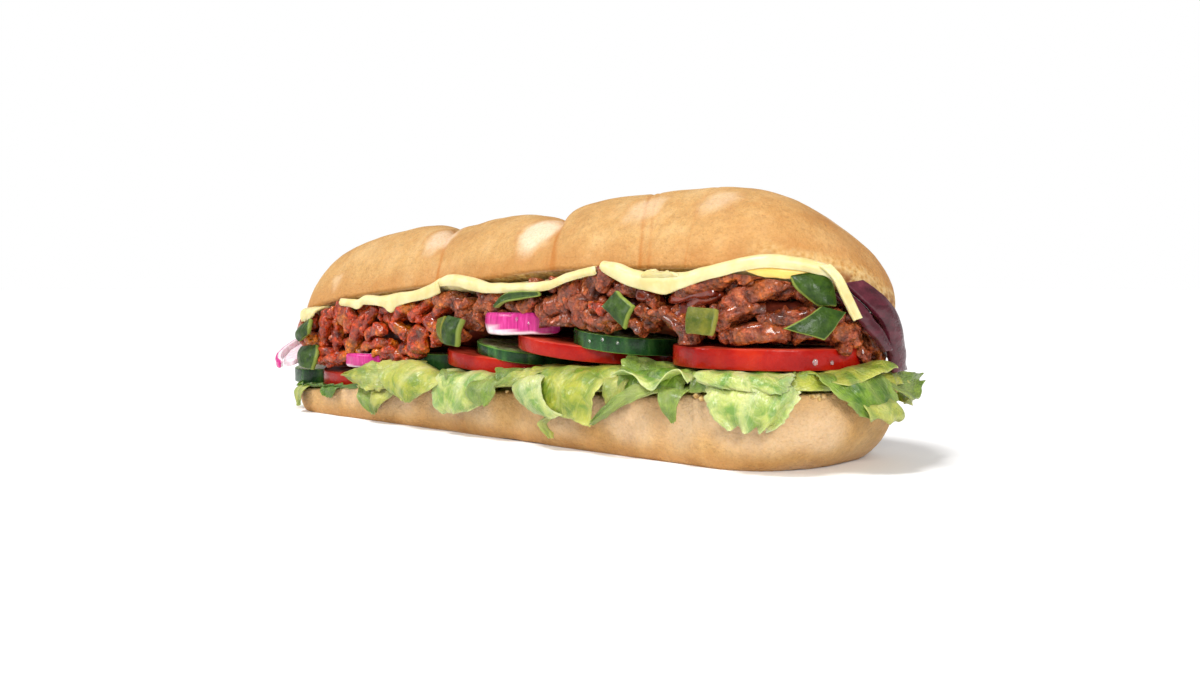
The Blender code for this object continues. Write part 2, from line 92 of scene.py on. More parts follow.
def through(points, x):
    """Smooth rise and fall through a few (position, value) stations, without overshoot."""
    if x <= points[0][0]:
        return points[0][1]
    if x >= points[-1][0]:
        return points[-1][1]
    k = next(i for i in range(len(points) - 1) if x <= points[i + 1][0])
    grade = [(q[1] - p[1]) / (q[0] - p[0]) for p, q in zip(points, points[1:])]

    def slope(i):
        if i == 0:
            return grade[0]
        if i == len(grade):
            return grade[-1]
        a, b = grade[i - 1], grade[i]
        return 0.0 if a * b <= 0 else 2 * a * b / (a + b)

    (x0, v0), (x1, v1) = points[k], points[k + 1]
    h = x1 - x0
    t = (x - x0) / h
    return (v0 * (1 + 2 * t) * (1 - t) ** 2 + h * slope(k) * t * (1 - t) ** 2
            + v1 * t * t * (3 - 2 * t) + h * slope(k + 1) * t * t * (t - 1))


def swirl(x, y=0.0, z=0.0, size=1.0, seed=0.0):
    """Soft noise, about -1 to 1, with features of the given size in mm."""
    return noise.noise(Vector((x / size + seed * 7.3, y / size - seed * 3.1, z / size + seed * 1.7)))


def floor_cut(x):
    """Height of the cut face of the lower half."""
    return through(((-150, 9.0), (-118, 10.5), (-49, 16.0), (13, 18.2), (65, 20.0), (109, 23.0), (150, 25.0)),
                   x)


def lip(x):
    """Height of the front edge of the upper half."""
    return through(((-150, 43.0), (-118, 46.5), (-89, 51.0), (-10, 58.0), (54, 62.6), (150, 62.8)), x)


def lid_axis(x):
    """Height of the middle of the cut face of the upper half."""
    return lip(x) - LID_WIDTH / 2 * math.sin(TILT)


def lid_under(x, y):
    """Height of the cut face of the upper half."""
    return lid_axis(x) - (y - LID_Y) * math.tan(TILT)


def cap(x, near, far, length_near, length_far):
    """Width factor of a plan with two rounded ends."""
    if x > near - length_near:
        u = (x - near + length_near) / length_near
    elif x < far + length_far:
        u = (far + length_far - x) / length_far
    else:
        return 1.0
    return math.sqrt(max(0.0, 1.0 - min(1.0, u) ** 2))


def stations(start, end, cap_start, cap_end, step, rings):
    """Positions along the roll, close together where the ends round off."""
    out = [start + cap_start * (1 - math.cos(math.pi / 2 * k / rings)) for k in range(rings)]
    n = round((end - cap_end - start - cap_start) / step)
    out += [start + cap_start + (end - cap_end - start - cap_start) * k / n for k in range(n + 1)]
    out += [end - cap_end * (1 - math.sin(math.pi / 2 * k / rings)) for k in range(1, rings + 1)]
    return out


def rim(s):
    """Point and outward direction on the rim of the lower half; s runs along it and is x on the flank."""
    if s > FLANK_NEAR:
        a = -math.pi / 2 + (s - FLANK_NEAR) / RIM_TURN_NEAR
        x0, ax = FLANK_NEAR, CAP_NEAR
    elif s < FLANK_FAR:
        a = -math.pi / 2 - (FLANK_FAR - s) / RIM_TURN_FAR
        x0, ax = FLANK_FAR, CAP_FAR
    else:
        return Vector((s, -HALF_WIDTH)), Vector((0.0, -1.0))
    out = Vector((math.cos(a) / ax, math.sin(a) / HALF_WIDTH)).normalized()
    return Vector((x0 + ax * math.cos(a), HALF_WIDTH * math.sin(a))), out


def lid_rim(s):
    """Point and outward direction on the rim of the upper half."""
    half = LID_WIDTH / 2 * math.cos(TILT)
    start = LID_NEAR - LID_CAP_NEAR
    if s > start:
        a = -math.pi / 2 + (s - start) / LID_RIM_TURN
        out = Vector((math.cos(a) / LID_CAP_NEAR, math.sin(a) / half)).normalized()
        return Vector((start + LID_CAP_NEAR * math.cos(a), LID_Y + half * math.sin(a))), out
    return Vector((s, LID_Y - half)), Vector((0.0, -1.0))


def ball(rings, around):
    """Ball of rings from pole to pole."""
    bm = bmesh.new()
    bmesh.ops.create_uvsphere(bm, u_segments=around, v_segments=rings, radius=1.0)
    return bm


def turns(v):
    """Share of the way from pole to pole, and the angle round the pole, of a point of the ball."""
    return math.acos(max(-1.0, min(1.0, v.co.z))) / math.pi, math.atan2(v.co.y, v.co.x)


def ring_step(v, rings, around):
    """Ring and step of a point of the ball."""
    down, angle = turns(v)
    return round(down * rings), round(angle / (2 * math.pi) * around) % around


def reshaped_ball(rings, around, place):
    """Ball whose point in ring i, step j goes where place(i, j) says."""
    bm = ball(rings, around)
    for v in bm.verts:
        v.co = place(*ring_step(v, rings, around))
    bmesh.ops.recalc_face_normals(bm, faces=bm.faces)
    bm.normal_update()
    return bm


def new_layers(bm, names):
    """Values that a finish reads at each point."""
    return [bm.verts.layers.float.new(name) for name in names]


def shown(name, bm, material, nodes):
    """Piece in metres, smooth, riding with the sandwich in place of its solids."""
    bmesh.ops.scale(bm, vec=(MM, MM, MM), verts=bm.verts)
    mesh = bpy.data.meshes.new(name)
    bm.to_mesh(mesh)
    bm.free()
    mesh.shade_smooth()
    mesh.materials.append(material)
    piece = bpy.data.objects.new(name, mesh)
    bpy.context.collection.objects.link(piece)
    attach(piece, "root")
    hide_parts(*nodes)
    return piece


# Material helpers

class Finish:
    """Principled material with short calls for the nodes that feed it."""

    def __init__(self, name, **sockets):
        self.material = bpy.data.materials.new(name)
        self.material.use_nodes = True
        self.tree = self.material.node_tree
        self.shader = self.tree.nodes["Principled BSDF"]
        for key, value in sockets.items():
            self.shader.inputs[key.replace("_", " ")].default_value = value
        self.place = self.node("ShaderNodeTexCoord").outputs["Object"]

    def node(self, kind, **settings):
        node = self.tree.nodes.new(kind)
        for key, value in settings.items():
            setattr(node, key, value)
        return node

    def link(self, a, b):
        self.tree.links.new(a, b)

    def feed(self, socket, source):
        self.link(source, self.shader.inputs[socket])

    def stretched(self, x, y, z):
        node = self.node("ShaderNodeMapping")
        node.inputs["Scale"].default_value = (x, y, z)
        self.link(self.place, node.inputs["Vector"])
        return node.outputs["Vector"]

    def grain(self, size, detail=4.0, rough=0.55, distortion=0.0, vector=None):
        """Noise with features of the given size in mm."""
        node = self.node("ShaderNodeTexNoise")
        node.inputs["Scale"].default_value = 1.0 / (size * MM)
        node.inputs["Detail"].default_value = detail
        node.inputs["Roughness"].default_value = rough
        node.inputs["Distortion"].default_value = distortion
        self.link(vector or self.place, node.inputs["Vector"])
        return node.outputs["Fac"]

    def cells(self, size, feature="F1", vector=None, scale=None):
        node = self.node("ShaderNodeTexVoronoi", feature=feature)
        node.inputs["Scale"].default_value = scale or 1.0 / (size * MM)
        self.link(vector or self.place, node.inputs["Vector"])
        return node.outputs["Distance"]

    def layer(self, name):
        return self.node("ShaderNodeAttribute", attribute_name=name).outputs["Fac"]

    def ramp(self, source, *stops):
        node = self.node("ShaderNodeValToRGB")
        bar = node.color_ramp
        while len(bar.elements) < len(stops):
            bar.elements.new(0.5)
        for element, (at, color) in zip(bar.elements, stops):
            element.position = at
            element.color = (*color, 1.0) if isinstance(color, tuple) else (color, color, color, 1.0)
        self.link(source, node.inputs["Fac"])
        return node.outputs["Color"]

    def mix(self, factor, a, b, blend="MIX"):
        node = self.node("ShaderNodeMix", data_type="RGBA", blend_type=blend)
        for socket, value in ((node.inputs[0], factor), (node.inputs[6], a), (node.inputs[7], b)):
            if isinstance(value, (int, float)):
                socket.default_value = value
            elif isinstance(value, tuple):
                socket.default_value = (*value, 1.0)
            else:
                self.link(value, socket)
        return node.outputs[2]

    def math(self, operation, a, b=0.0, clamp=False):
        node = self.node("ShaderNodeMath", operation=operation, use_clamp=clamp)
        for socket, value in zip(node.inputs, (a, b)):
            if isinstance(value, (int, float)):
                socket.default_value = value
            else:
                self.link(value, socket)
        return node.outputs[0]

    def relief(self, *layers):
        """Bump made of (height source, depth in mm) layers."""
        normal = None
        for source, depth in layers:
            node = self.node("ShaderNodeBump")
            node.inputs["Strength"].default_value = 1.0
            node.inputs["Distance"].default_value = depth * MM
            self.link(source, node.inputs["Height"])
            if normal is not None:
                self.link(normal, node.inputs["Normal"])
            normal = node.outputs["Normal"]
        self.feed("Normal", normal)


# Finishes

def crust_finish():
    m = Finish("roll_crust_and_crumb", Subsurface_Weight=0.08, Subsurface_Scale=0.003,
               Specular_IOR_Level=0.25)
    m.shader.inputs["Subsurface Radius"].default_value = (1.0, 0.55, 0.25)
    blotch = m.grain(17, 4, 0.6, 0.3)
    crust = m.ramp(blotch, (0.30, (0.46, 0.238, 0.074)), (0.50, (0.55, 0.312, 0.108)),
                   (0.72, (0.63, 0.395, 0.168)))
    fleck = m.ramp(m.grain(0.8, 3, 0.65), (0.34, 0.62), (0.48, 1.0))
    crust = m.mix(0.45, crust, fleck, "MULTIPLY")
    # Dark dots at the pores of the crust: painted shade in them.
    pore_shade = m.ramp(m.cells(2.4), (0.02, 0.40), (0.10, 1.0))
    crust = m.mix(0.6, crust, pore_shade, "MULTIPLY")
    mottle = m.ramp(m.grain(2.4, 5, 0.7), (0.36, 0.80), (0.58, 1.0))
    crust = m.mix(0.8, crust, mottle, "MULTIPLY")
    uneven = m.math("MULTIPLY", m.math("SUBTRACT", m.grain(9, 5, 0.62), 0.5), 0.8)
    # Toasted tone where the crust is browned; along the seams of the upper half the same mix is painted
    # shade.
    crust = m.mix(m.math("ADD", m.layer("toast_and_seam_shade"), uneven, True), crust, (0.42, 0.160, 0.030))
    # Pale dusting in patches; on the up-facing top it is also painted light.
    pale = m.math("MULTIPLY", m.layer("flour_and_top_light"), m.ramp(m.grain(1.0, 4, 0.7), (0.25, 0.45), (0.55, 1.0)), True)
    crust = m.mix(pale, crust, (0.80, 0.63, 0.46))
    crust = m.mix(m.layer("ring"), crust, (0.46, 0.21, 0.07))
    # Crumb darker inside its holes: painted shade.
    crumb_hole_shade = m.cells(1.6)
    crumb = m.ramp(crumb_hole_shade, (0.10, (0.40, 0.21, 0.05)), (0.42, (0.64, 0.42, 0.15)), (0.75, (0.76, 0.57, 0.27)))
    # Sauce on the crumb; on the cut face under the upper half it is also painted shade.
    stain_and_shade = m.math("MULTIPLY", m.layer("sauce"), m.ramp(m.grain(3.5, 4), (0.40, 0.30), (0.56, 1.0)), True)
    crumb = m.mix(stain_and_shade, crumb, (0.18, 0.050, 0.014))
    m.feed("Base Color", m.mix(m.layer("crumb"), crust, crumb))
    m.feed("Roughness", m.ramp(m.grain(5, 3), (0.3, 0.52), (0.7, 0.68)))
    wrinkle = m.grain(2.0, 6, 0.64, 0.5, m.stretched(0.55, 1.0, 1.3))
    m.relief((wrinkle, 0.55), (m.grain(0.7, 3, 0.6), 0.28), (m.cells(1.5), 0.20))
    return m.material


def lettuce_finish(name, deep, light, pale):
    m = Finish(name, Roughness=0.32, Subsurface_Weight=0.30, Subsurface_Scale=0.003, Specular_IOR_Level=0.35,
               Coat_Weight=0.12, Coat_Roughness=0.16)
    m.shader.inputs["Subsurface Radius"].default_value = (0.7, 1.0, 0.25)
    uv = m.node("ShaderNodeTexCoord").outputs["UV"]
    warp = m.node("ShaderNodeMapping")
    warp.inputs["Scale"].default_value = (2.2, 1.0, 1.0)
    m.link(uv, warp.inputs["Vector"])
    veins = m.cells(0, "DISTANCE_TO_EDGE", warp.outputs["Vector"], 3.2)
    fine = m.cells(0, "DISTANCE_TO_EDGE", warp.outputs["Vector"], 11.0)
    green = m.mix(m.ramp(m.grain(7, 5, 0.6, 0.6), (0.40, 0.0), (0.60, 1.0)), light, deep)
    green = m.mix(m.layer("rib"), green, pale)
    green = m.mix(m.math("MULTIPLY", m.layer("edge"), 0.34), green, pale)
    net = m.ramp(veins, (0.0, 1.0), (0.035, 0.0))
    small = m.ramp(fine, (0.0, 0.55), (0.04, 0.0))
    green = m.mix(m.math("MULTIPLY", net, 0.14), green, pale)
    m.feed("Base Color", m.mix(m.math("MULTIPLY", small, 0.18), green, light))
    m.relief((m.ramp(veins, (0.0, 0.0), (0.12, 1.0)), 0.12), (m.ramp(fine, (0.0, 0.0), (0.12, 1.0)), 0.07),
             (m.grain(1.6, 3), 0.15))
    return m.material


def tomato_finish():
    m = Finish("tomato_slice", Subsurface_Weight=0.06, Subsurface_Scale=0.002, Coat_Weight=0.05,
               Coat_Roughness=0.08, Specular_IOR_Level=0.16)
    m.shader.inputs["Subsurface Radius"].default_value = (1.0, 0.25, 0.1)
    skin = m.ramp(m.grain(10, 4, 0.6, 0.3), (0.32, (0.261, 0.00298, 0.00141)),
                  (0.50, (0.352, 0.00713, 0.00282)), (0.70, (0.431, 0.0193, 0.00493)))
    flesh = m.ramp(m.grain(2.5, 4), (0.3, (0.392, 0.0208, 0.00704)), (0.7, (0.496, 0.0595, 0.0246)))
    gel = m.ramp(m.grain(1.6, 3), (0.3, (0.313, 0.0208, 0.00352)), (0.7, (0.457, 0.0713, 0.0141)))
    face = m.mix(m.layer("pocket"), flesh, gel)
    m.feed("Base Color", m.mix(m.layer("skin"), face, skin))
    dull = m.ramp(m.layer("skin"), (0.2, 0.45), (0.8, 0.0))
    m.feed("Roughness", m.math("ADD", dull, m.ramp(m.grain(3, 3), (0.35, 0.16), (0.7, 0.32)), True))
    m.relief((m.grain(3.5, 3), 0.3), (m.grain(0.9, 2), 0.06))
    return m.material


def cucumber_finish():
    m = Finish("cucumber_slice", Subsurface_Weight=0.25, Subsurface_Scale=0.003, Coat_Weight=0.08,
               Coat_Roughness=0.10, Specular_IOR_Level=0.25)
    m.shader.inputs["Subsurface Radius"].default_value = (0.6, 1.0, 0.3)
    streak = m.ramp(m.layer("streak"), (0.30, (0.006, 0.034, 0.008)), (0.60, (0.016, 0.090, 0.016)),
                    (0.90, (0.11, 0.26, 0.05)))
    skin = m.mix(m.ramp(m.grain(3, 4), (0.4, 0.0), (0.75, 0.5)), streak, (0.010, 0.045, 0.010))
    flesh = m.ramp(m.layer("radius"), (0.0, (0.62, 0.70, 0.34)), (0.62, (0.56, 0.68, 0.28)),
                   (0.86, (0.66, 0.76, 0.40)), (0.97, (0.24, 0.45, 0.08)))
    flesh = m.mix(m.layer("pocket"), flesh, (0.72, 0.74, 0.45))
    m.feed("Base Color", m.mix(m.layer("skin"), flesh, skin))
    m.feed("Roughness", m.ramp(m.grain(2, 3), (0.35, 0.20), (0.7, 0.42)))
    m.relief((m.grain(2.4, 3), 0.22), (m.grain(0.6, 2), 0.05))
    return m.material


def onion_finish():
    m = Finish("red_onion_ring", Roughness=0.25, Subsurface_Weight=0.2, Subsurface_Scale=0.003,
               Coat_Weight=0.1, Coat_Roughness=0.10, Specular_IOR_Level=0.3)
    m.shader.inputs["Subsurface Radius"].default_value = (1.0, 0.6, 0.8)
    lines = m.grain(1.1, 3, 0.6, 0.2, m.stretched(1.0, 1.0, 0.12))
    skin = m.ramp(lines, (0.30, (0.34, 0.009, 0.12)), (0.55, (0.54, 0.024, 0.21)), (0.8, (0.70, 0.11, 0.38)))
    white = m.ramp(m.grain(2.0, 3), (0.3, (0.70, 0.50, 0.58)), (0.65, (0.84, 0.74, 0.76)))
    m.feed("Base Color", m.mix(m.layer("skin"), white, skin))
    m.relief((lines, 0.10), (m.grain(4, 2), 0.2))
    return m.material


def plum_finish():
    m = Finish("glazed_onion_strip", Roughness=0.24, Coat_Weight=0.15, Coat_Roughness=0.08,
               Specular_IOR_Level=0.35)
    m.feed("Base Color", m.ramp(m.grain(3, 4, 0.6, 0.3, m.stretched(0.4, 0.4, 1.0)),
                                (0.3, (0.035, 0.004, 0.008)), (0.6, (0.090, 0.012, 0.022)),
                                (0.85, (0.18, 0.035, 0.050))))
    m.relief((m.grain(2.5, 4), 0.35), (m.grain(0.8, 2), 0.06))
    return m.material


def pepper_finish(name, deep, light, flesh):
    m = Finish(name, Subsurface_Weight=0.1, Subsurface_Scale=0.002, Coat_Weight=0.06, Coat_Roughness=0.15,
               Specular_IOR_Level=0.2)
    m.shader.inputs["Subsurface Radius"].default_value = (0.5, 1.0, 0.3)
    skin = m.ramp(m.grain(3.2, 4), (0.32, deep), (0.72, light))
    skin = m.mix(m.ramp(m.cells(1.1), (0.10, 0.35), (0.30, 0.0)), skin, light)
    rim_line = m.ramp(m.layer("cut"), (0.50, 0.0), (0.80, 1.0))
    m.feed("Base Color", m.mix(rim_line, skin, flesh))
    m.feed("Roughness", m.ramp(m.grain(2, 3), (0.3, 0.24), (0.7, 0.45)))
    m.relief((m.grain(2.2, 4), 0.35), (m.grain(0.5, 2), 0.08))
    return m.material


def cheese_finish(name, shade, light):
    m = Finish(name, Roughness=0.36, Subsurface_Weight=0.35, Subsurface_Scale=0.004, Specular_IOR_Level=0.4)
    m.shader.inputs["Subsurface Radius"].default_value = (1.0, 0.75, 0.25)
    m.feed("Base Color", m.ramp(m.grain(7, 3), (0.35, shade), (0.65, light)))
    m.relief((m.grain(6, 3), 0.3), (m.grain(0.9, 3), 0.05))
    return m.material


def beef_finish(name, dark, brown, bright, orange):
    m = Finish(name, Subsurface_Weight=0.06, Subsurface_Scale=0.002, Coat_Weight=0.45, Coat_Roughness=0.09,
               Specular_IOR_Level=0.3)
    m.shader.inputs["Subsurface Radius"].default_value = (1.0, 0.35, 0.2)
    color = m.ramp(m.grain(2.8, 5, 0.68), (0.30, dark), (0.50, brown), (0.70, bright))
    color = m.mix(m.ramp(m.grain(7.0, 3), (0.50, 0.0), (0.68, 0.85)), color, orange)
    # Darker in the hollows of each strip: painted shade.
    deep = m.ramp(m.layer("crease"), (0.10, 0.04), (0.45, 0.42), (0.85, 1.0))
    color = m.mix(1.0, color, deep, "MULTIPLY")
    knobs, lumps = m.cells(1.5), m.cells(3.6)
    # Darker between the knobs and lumps: painted shade in the hollows.
    color = m.mix(0.5, color, m.ramp(knobs, (0.30, 1.0), (0.62, 0.30)), "MULTIPLY")
    color = m.mix(0.6, color, m.ramp(lumps, (0.35, 1.0), (0.70, 0.30)), "MULTIPLY")
    m.feed("Base Color", color)
    m.feed("Roughness", m.ramp(m.grain(1.6, 4), (0.35, 0.20), (0.7, 0.5)))
    m.relief((m.ramp(knobs, (0.0, 1.0), (0.66, 0.0)), 0.7), (m.ramp(lumps, (0.0, 1.0), (0.7, 0.0)), 1.0),
             (m.grain(1.0, 4, 0.65), 0.6), (m.grain(0.45, 3), 0.15))
    return m.material


def glaze_and_gap_shade_finish():
    m = Finish("sauce_glaze_and_gap_shade", Roughness=0.30, Coat_Weight=0.1, Coat_Roughness=0.10, Specular_IOR_Level=0.3)
    # Very dark, so that where it shows between the strips it is painted shade.
    m.feed("Base Color", m.ramp(m.grain(5, 4), (0.3, (0.035, 0.006, 0.004)), (0.7, (0.14, 0.022, 0.010))))
    m.relief((m.grain(3, 3), 0.4), (m.grain(0.9, 2), 0.05))
    return m.material


def dipped_finish():
    m = Finish("sauce_dipped_beef", Coat_Weight=0.7, Coat_Roughness=0.07, Specular_IOR_Level=0.4)
    m.feed("Base Color", m.ramp(m.grain(4, 4, 0.6), (0.3, (0.060, 0.006, 0.003)), (0.5, (0.17, 0.018, 0.006)),
                                (0.7, (0.34, 0.050, 0.015))))
    m.feed("Roughness", m.ramp(m.grain(2.5, 3), (0.35, 0.12), (0.7, 0.35)))
    m.relief((m.grain(3, 3), 0.5), (m.grain(0.9, 2), 0.12))
    return m.material


def drop_finish():
    m = Finish("water_drop", Roughness=0.04, IOR=1.33, Transmission_Weight=0.9, Specular_IOR_Level=0.6)
    m.feed("Base Color", m.ramp(m.grain(1), (0.0, (0.96, 0.96, 0.96)), (1.0, (1.0, 1.0, 1.0))))
    return m.material


# Roll

def crown(s):
    """Highest line of the upper half, lobe by lobe."""
    far = through(((-147, 46), (-145.5, 51), (-142, 56.5), (-136, 62), (-126, 68.5), (-110, 74.8),
                   (-90, 79.0), (-70, 80.8), (-48, 81.2)), s)
    middle = through(((-52, 79.0), (-38, 79.8), (-24, 81.8), (-6, 82.6), (18, 82.2)), s)
    near = through(((14, 82.6), (27, 85.2), (40, 87.0), (60, 88.0), (92, 88.6), (104, 87.8), (118, 83.9),
                    (129, 78.3), (138, 71.6), (144.5, 64.5), (148, 57.0), (149, 52.0)), s)
    first = smooth(-53, -47, s)
    second = smooth(13.5, 19.5, s)
    return (far * (1 - first) + middle * first) * (1 - second) + near * second


def seam_depth(s, across):
    """Depth of the creases between the lobes, deepest at the front."""
    depth = 0.0
    for at, deep, before, after in ((SEAMS[0], 4.0, 8.0, 2.6), (SEAMS[1], 5.0, 9.0, 3.2)):
        off = s - at - 0.8 * swirl(across, 0, 0, 9, at)
        reach = after if off > 0 else before
        depth += deep * math.exp(-math.sqrt(off * off + 0.04) / reach)
    return depth + seam_line(s, across)


def seam_line(s, across):
    """How close a point lies to the bottom of a crease."""
    near = 0.0
    for at, strength in ((SEAMS[0], 0.8), (SEAMS[1], 1.0), (58.0, 0.8), (61.5, 0.35), (90.0, 0.35)):
        off = s - at - 0.8 * swirl(across, 0, 0, 9, at)
        fade = 1.0 if at in SEAMS else smooth(0.15, 0.7, across / (LID_WIDTH / 2))
        near = max(near, strength * fade * math.exp(-(off / 0.9) ** 2))
    return near


FLOUR = ((-37.0, -24.0, 75.5, 10.5, 0.55), (25.0, -26.5, 75.0, 12.0, 0.80), (74.0, -23.0, 82.0, 9.5, 0.35),
         (104.0, -20.0, 82.5, 8.5, 0.35), (-100.0, -32.0, 57.0, 5.0, 0.25), (-70.0, 20.0, 72.0, 10.0, 0.5),
         (60.0, 26.0, 78.0, 11.0, 0.6), (125.0, 8.0, 78.0, 9.0, 0.3))


def crust_look(bm, layers):
    """Lumps of the crust, pale dusted patches, paler blotches on the up-facing top that are dusting and
    painted light in one, and the porous crumb.
    """
    _, flour_and_top_light, ring, crumb, sauce = layers
    for v in bm.verts:
        x, y, z = v.co
        n = v.normal.copy()
        if v[crumb] > 0.5:
            hole = noise.turbulence(v.co / 3.4, 3, False)
            v.co -= n * (0.9 * max(0.0, hole - 0.35) * v[sauce])
            # Crumb of the upper half darkened towards the front: sauce, and painted shade under the upper
            # half.
            v[sauce] = smooth(-26, -37, y) * 0.8 if z > 28 else 0.15
            continue
        lump = 0.55 * swirl(x, y, z, 26) + 0.28 * swirl(x, y, z, 11, 2)
        v.co += n * (lump + 0.10 * swirl(x * 0.6, y, z * 1.4, 4.2, 3))
        v.co.z = max(0.0, v.co.z)
        best, rim_line = 0.0, 0.0
        for fx, fy, fz, r, strength in FLOUR:
            d = math.sqrt((x - fx) ** 2 + (y - fy) ** 2 + (z - fz) ** 2) + 2.2 * swirl(x, y, z, 5, fx)
            best = max(best, strength * smooth(r, r * 0.45, d))
            rim_line = max(rim_line, strength * math.exp(-((d - r * 0.95) / 0.7) ** 2))
        if z > 36 and x > 112:
            above = z - lid_under(x, y) + 2.0 * swirl(x, y, z, 4, 9)
            v[crumb] = 0.75 * smooth(118, 138, x) * smooth(12, 6, above)
            v[sauce] = smooth(9, 4, above) * smooth(-0.5, 0.4, swirl(x, y, z, 5, 12))
        # Paler blotches where the crust faces up: dusting and painted light in one.
        dust_and_light_on_top = 0.45 * smooth(0.55, 1.0, n.z) * smooth(-0.6, 0.5, swirl(x, y, z, 18, 6))
        on_flank = 0.38 * smooth(32, 24, z) * smooth(2, 9, z) * smooth(-0.5, 0.4, swirl(x, y, z, 16, 8))
        v[flour_and_top_light] = max(best, dust_and_light_on_top, on_flank)
        v[ring] = 0.70 * rim_line


def section(around, dome):
    """Steps round a section: (True, angle) on the outside, (False, angle) on the cut face."""
    steps = [(True, math.pi * (0.5 - 0.5 * math.cos(math.pi * k / dome))) for k in range(dome + 1)]
    under = around - dome
    return steps + [(False, math.pi + math.pi * k / under) for k in range(1, under)]


def bread_bmesh(rings, around, place):
    """Half of the roll, from a ball whose points go where place(i, j) says."""
    bm = ball(rings, around)
    layers = toast_and_seam_shade, _, _, crumb, sauce = new_layers(bm, BREAD_LAYERS)
    for v in bm.verts:
        v.co, v[toast_and_seam_shade], v[crumb], v[sauce] = place(*ring_step(v, rings, around))
    bmesh.ops.recalc_face_normals(bm, faces=bm.faces)
    bm.normal_update()
    crust_look(bm, layers)
    return bm


def roll_upper():
    """Upper half, three lobes with creases between them."""
    along = stations(LID_FAR, LID_NEAR, LID_CAP_FAR, LID_CAP_NEAR, 1.3, 30)
    around, dome = 168, 112
    steps = section(around, dome)
    half = LID_WIDTH / 2

    def place(i, j):
        s = along[i]
        w = half * cap(s, LID_NEAR, LID_FAR, LID_CAP_NEAR, LID_CAP_FAR)
        outside, a = steps[j]
        c, d = math.cos(a), abs(math.sin(a))
        fillet = min(LIP_ROUND, 0.25 * w)
        if outside:
            across = w * math.copysign(abs(c) ** 0.78, c)
            rise = (crown(s) - lid_axis(s) - 2.4 * w / half) / math.cos(TILT)
            front = 0.85 + 0.15 * smooth(-0.9, 0.2, across / half)
            up = d ** 0.86 * max(0.6, rise - seam_depth(s, across) * front)
            if up < fillet:
                across -= math.copysign(fillet * (1 - math.sqrt(1 - (1 - up / fillet) ** 2)), c)
        else:
            across, up = (w - fillet) * c, 0.0
        y = LID_Y - across * math.cos(TILT) + up * math.sin(TILT)
        z = across * math.sin(TILT) + up * math.cos(TILT)
        slant = SEAM_SLANT * (1 - smooth(62, 118, s)) * (1 - smooth(-66, -118, s))
        x = s - slant * y
        ends = max(smooth(96, 150, x), smooth(-112, -150, x))
        # Darker near the cut edge, at the ends and low on the back of the dome.
        toast_and_seam_shade = 0.02 + 0.50 * smooth(13, 0, up) + 0.40 * ends + 0.25 * smooth(-30, 40, y) * smooth(30, 5, up)
        # Painted shade along the bottoms of the seams, a little more where they run deep.
        toast_and_seam_shade += 0.05 * seam_depth(s, across) + 0.75 * seam_line(s, across) * smooth(-0.1, 0.6, across / half)
        return Vector((x, y, lid_axis(x) + z)), toast_and_seam_shade, 0.0 if outside else 1.0, 1.0

    return bread_bmesh(len(along) - 1, around, place)


def roll_lower():
    """Lower half, flat where it rests."""
    along = stations(FLANK_FAR - CAP_FAR, FLANK_NEAR + CAP_NEAR, CAP_FAR, CAP_NEAR, 1.6, 30)
    around, dome = 140, 90
    steps = section(around, dome)

    def place(i, j):
        x = along[i]
        w = HALF_WIDTH * cap(x, FLANK_NEAR + CAP_NEAR, FLANK_FAR - CAP_FAR, CAP_NEAR, CAP_FAR)
        cut = floor_cut(x)
        end = cap(x, 150, -147, 37, 38)
        outside, a = steps[j]
        c, d = math.cos(a), abs(math.sin(a))
        fillet = min(LOWER_LIP_ROUND, 0.25 * w)
        if outside:
            y = w * math.copysign(abs(c) ** (1.0 - 0.5 * end), c)
            z = max(0.0, cut - (cut + BASE_CLIP) * end * d ** 0.5)
            low = cut - z
            if low < fillet:
                y -= math.copysign(fillet * (1 - math.sqrt(1 - (1 - low / fillet) ** 2)), c)
        else:
            y, z = (w - fillet) * c, cut
        # Darker towards the bottom where it rests and at the far end, lighter towards the near end.
        toast_and_seam_shade = 0.40 * smooth(7, 0, z) - 0.12 * smooth(90, 140, x) + 0.15 * smooth(-90, -147, x)
        return Vector((x, y, z)), toast_and_seam_shade, 0.0 if outside else 1.0, 1.0

    return bread_bmesh(len(along) - 1, around, place)


def roll_hinge():
    """Uncut crust and crumb along the back."""
    x0, x1, y0, y1 = HINGE
    bm = bmesh.new()
    bmesh.ops.create_cube(bm, size=1.0)
    for axis, cuts in ((0, 110), (2, 14), (1, 3)):
        edges = [e for e in bm.edges if abs(e.verts[0].co[axis] - e.verts[1].co[axis]) > 0.5]
        bmesh.ops.subdivide_edges(bm, edges=edges, cuts=cuts, use_grid_fill=True)
    layers = toast_and_seam_shade, _, _, crumb, sauce = new_layers(bm, BREAD_LAYERS)
    for v in bm.verts:
        fx, fy, fz = (c + 0.5 for c in v.co)
        x = x0 + (x1 - x0) * fx
        inward = smooth(14, 0, min(x - x0, x1 - x))
        hollow = (1 - (2 * fz - 1) ** 2) * (6.0 + 1.2 * swirl(x * 0.1, fy * 3, fz * 4, 1.0, 5))
        x += hollow * smooth(26, 0, min(x - x0, x1 - x)) * (1 if fx < 0.5 else -1)
        y = y0 + (y1 - y0) * fy * (1 - 0.8 * inward) - 1.5 * fy * (1 - abs(2 * fz - 1)) ** 2
        low, high = floor_cut(x) - 3.0, lid_under(x, y) + 3.0
        v.co = Vector((x, y, low + (high - low) * fz))
        v[toast_and_seam_shade] = 0.35
        v[crumb] = 0.0 if fy > 0.95 else 1.0
        v[sauce] = 1.0
    bmesh.ops.recalc_face_normals(bm, faces=bm.faces)
    bm.normal_update()
    crust_look(bm, layers)
    return bm


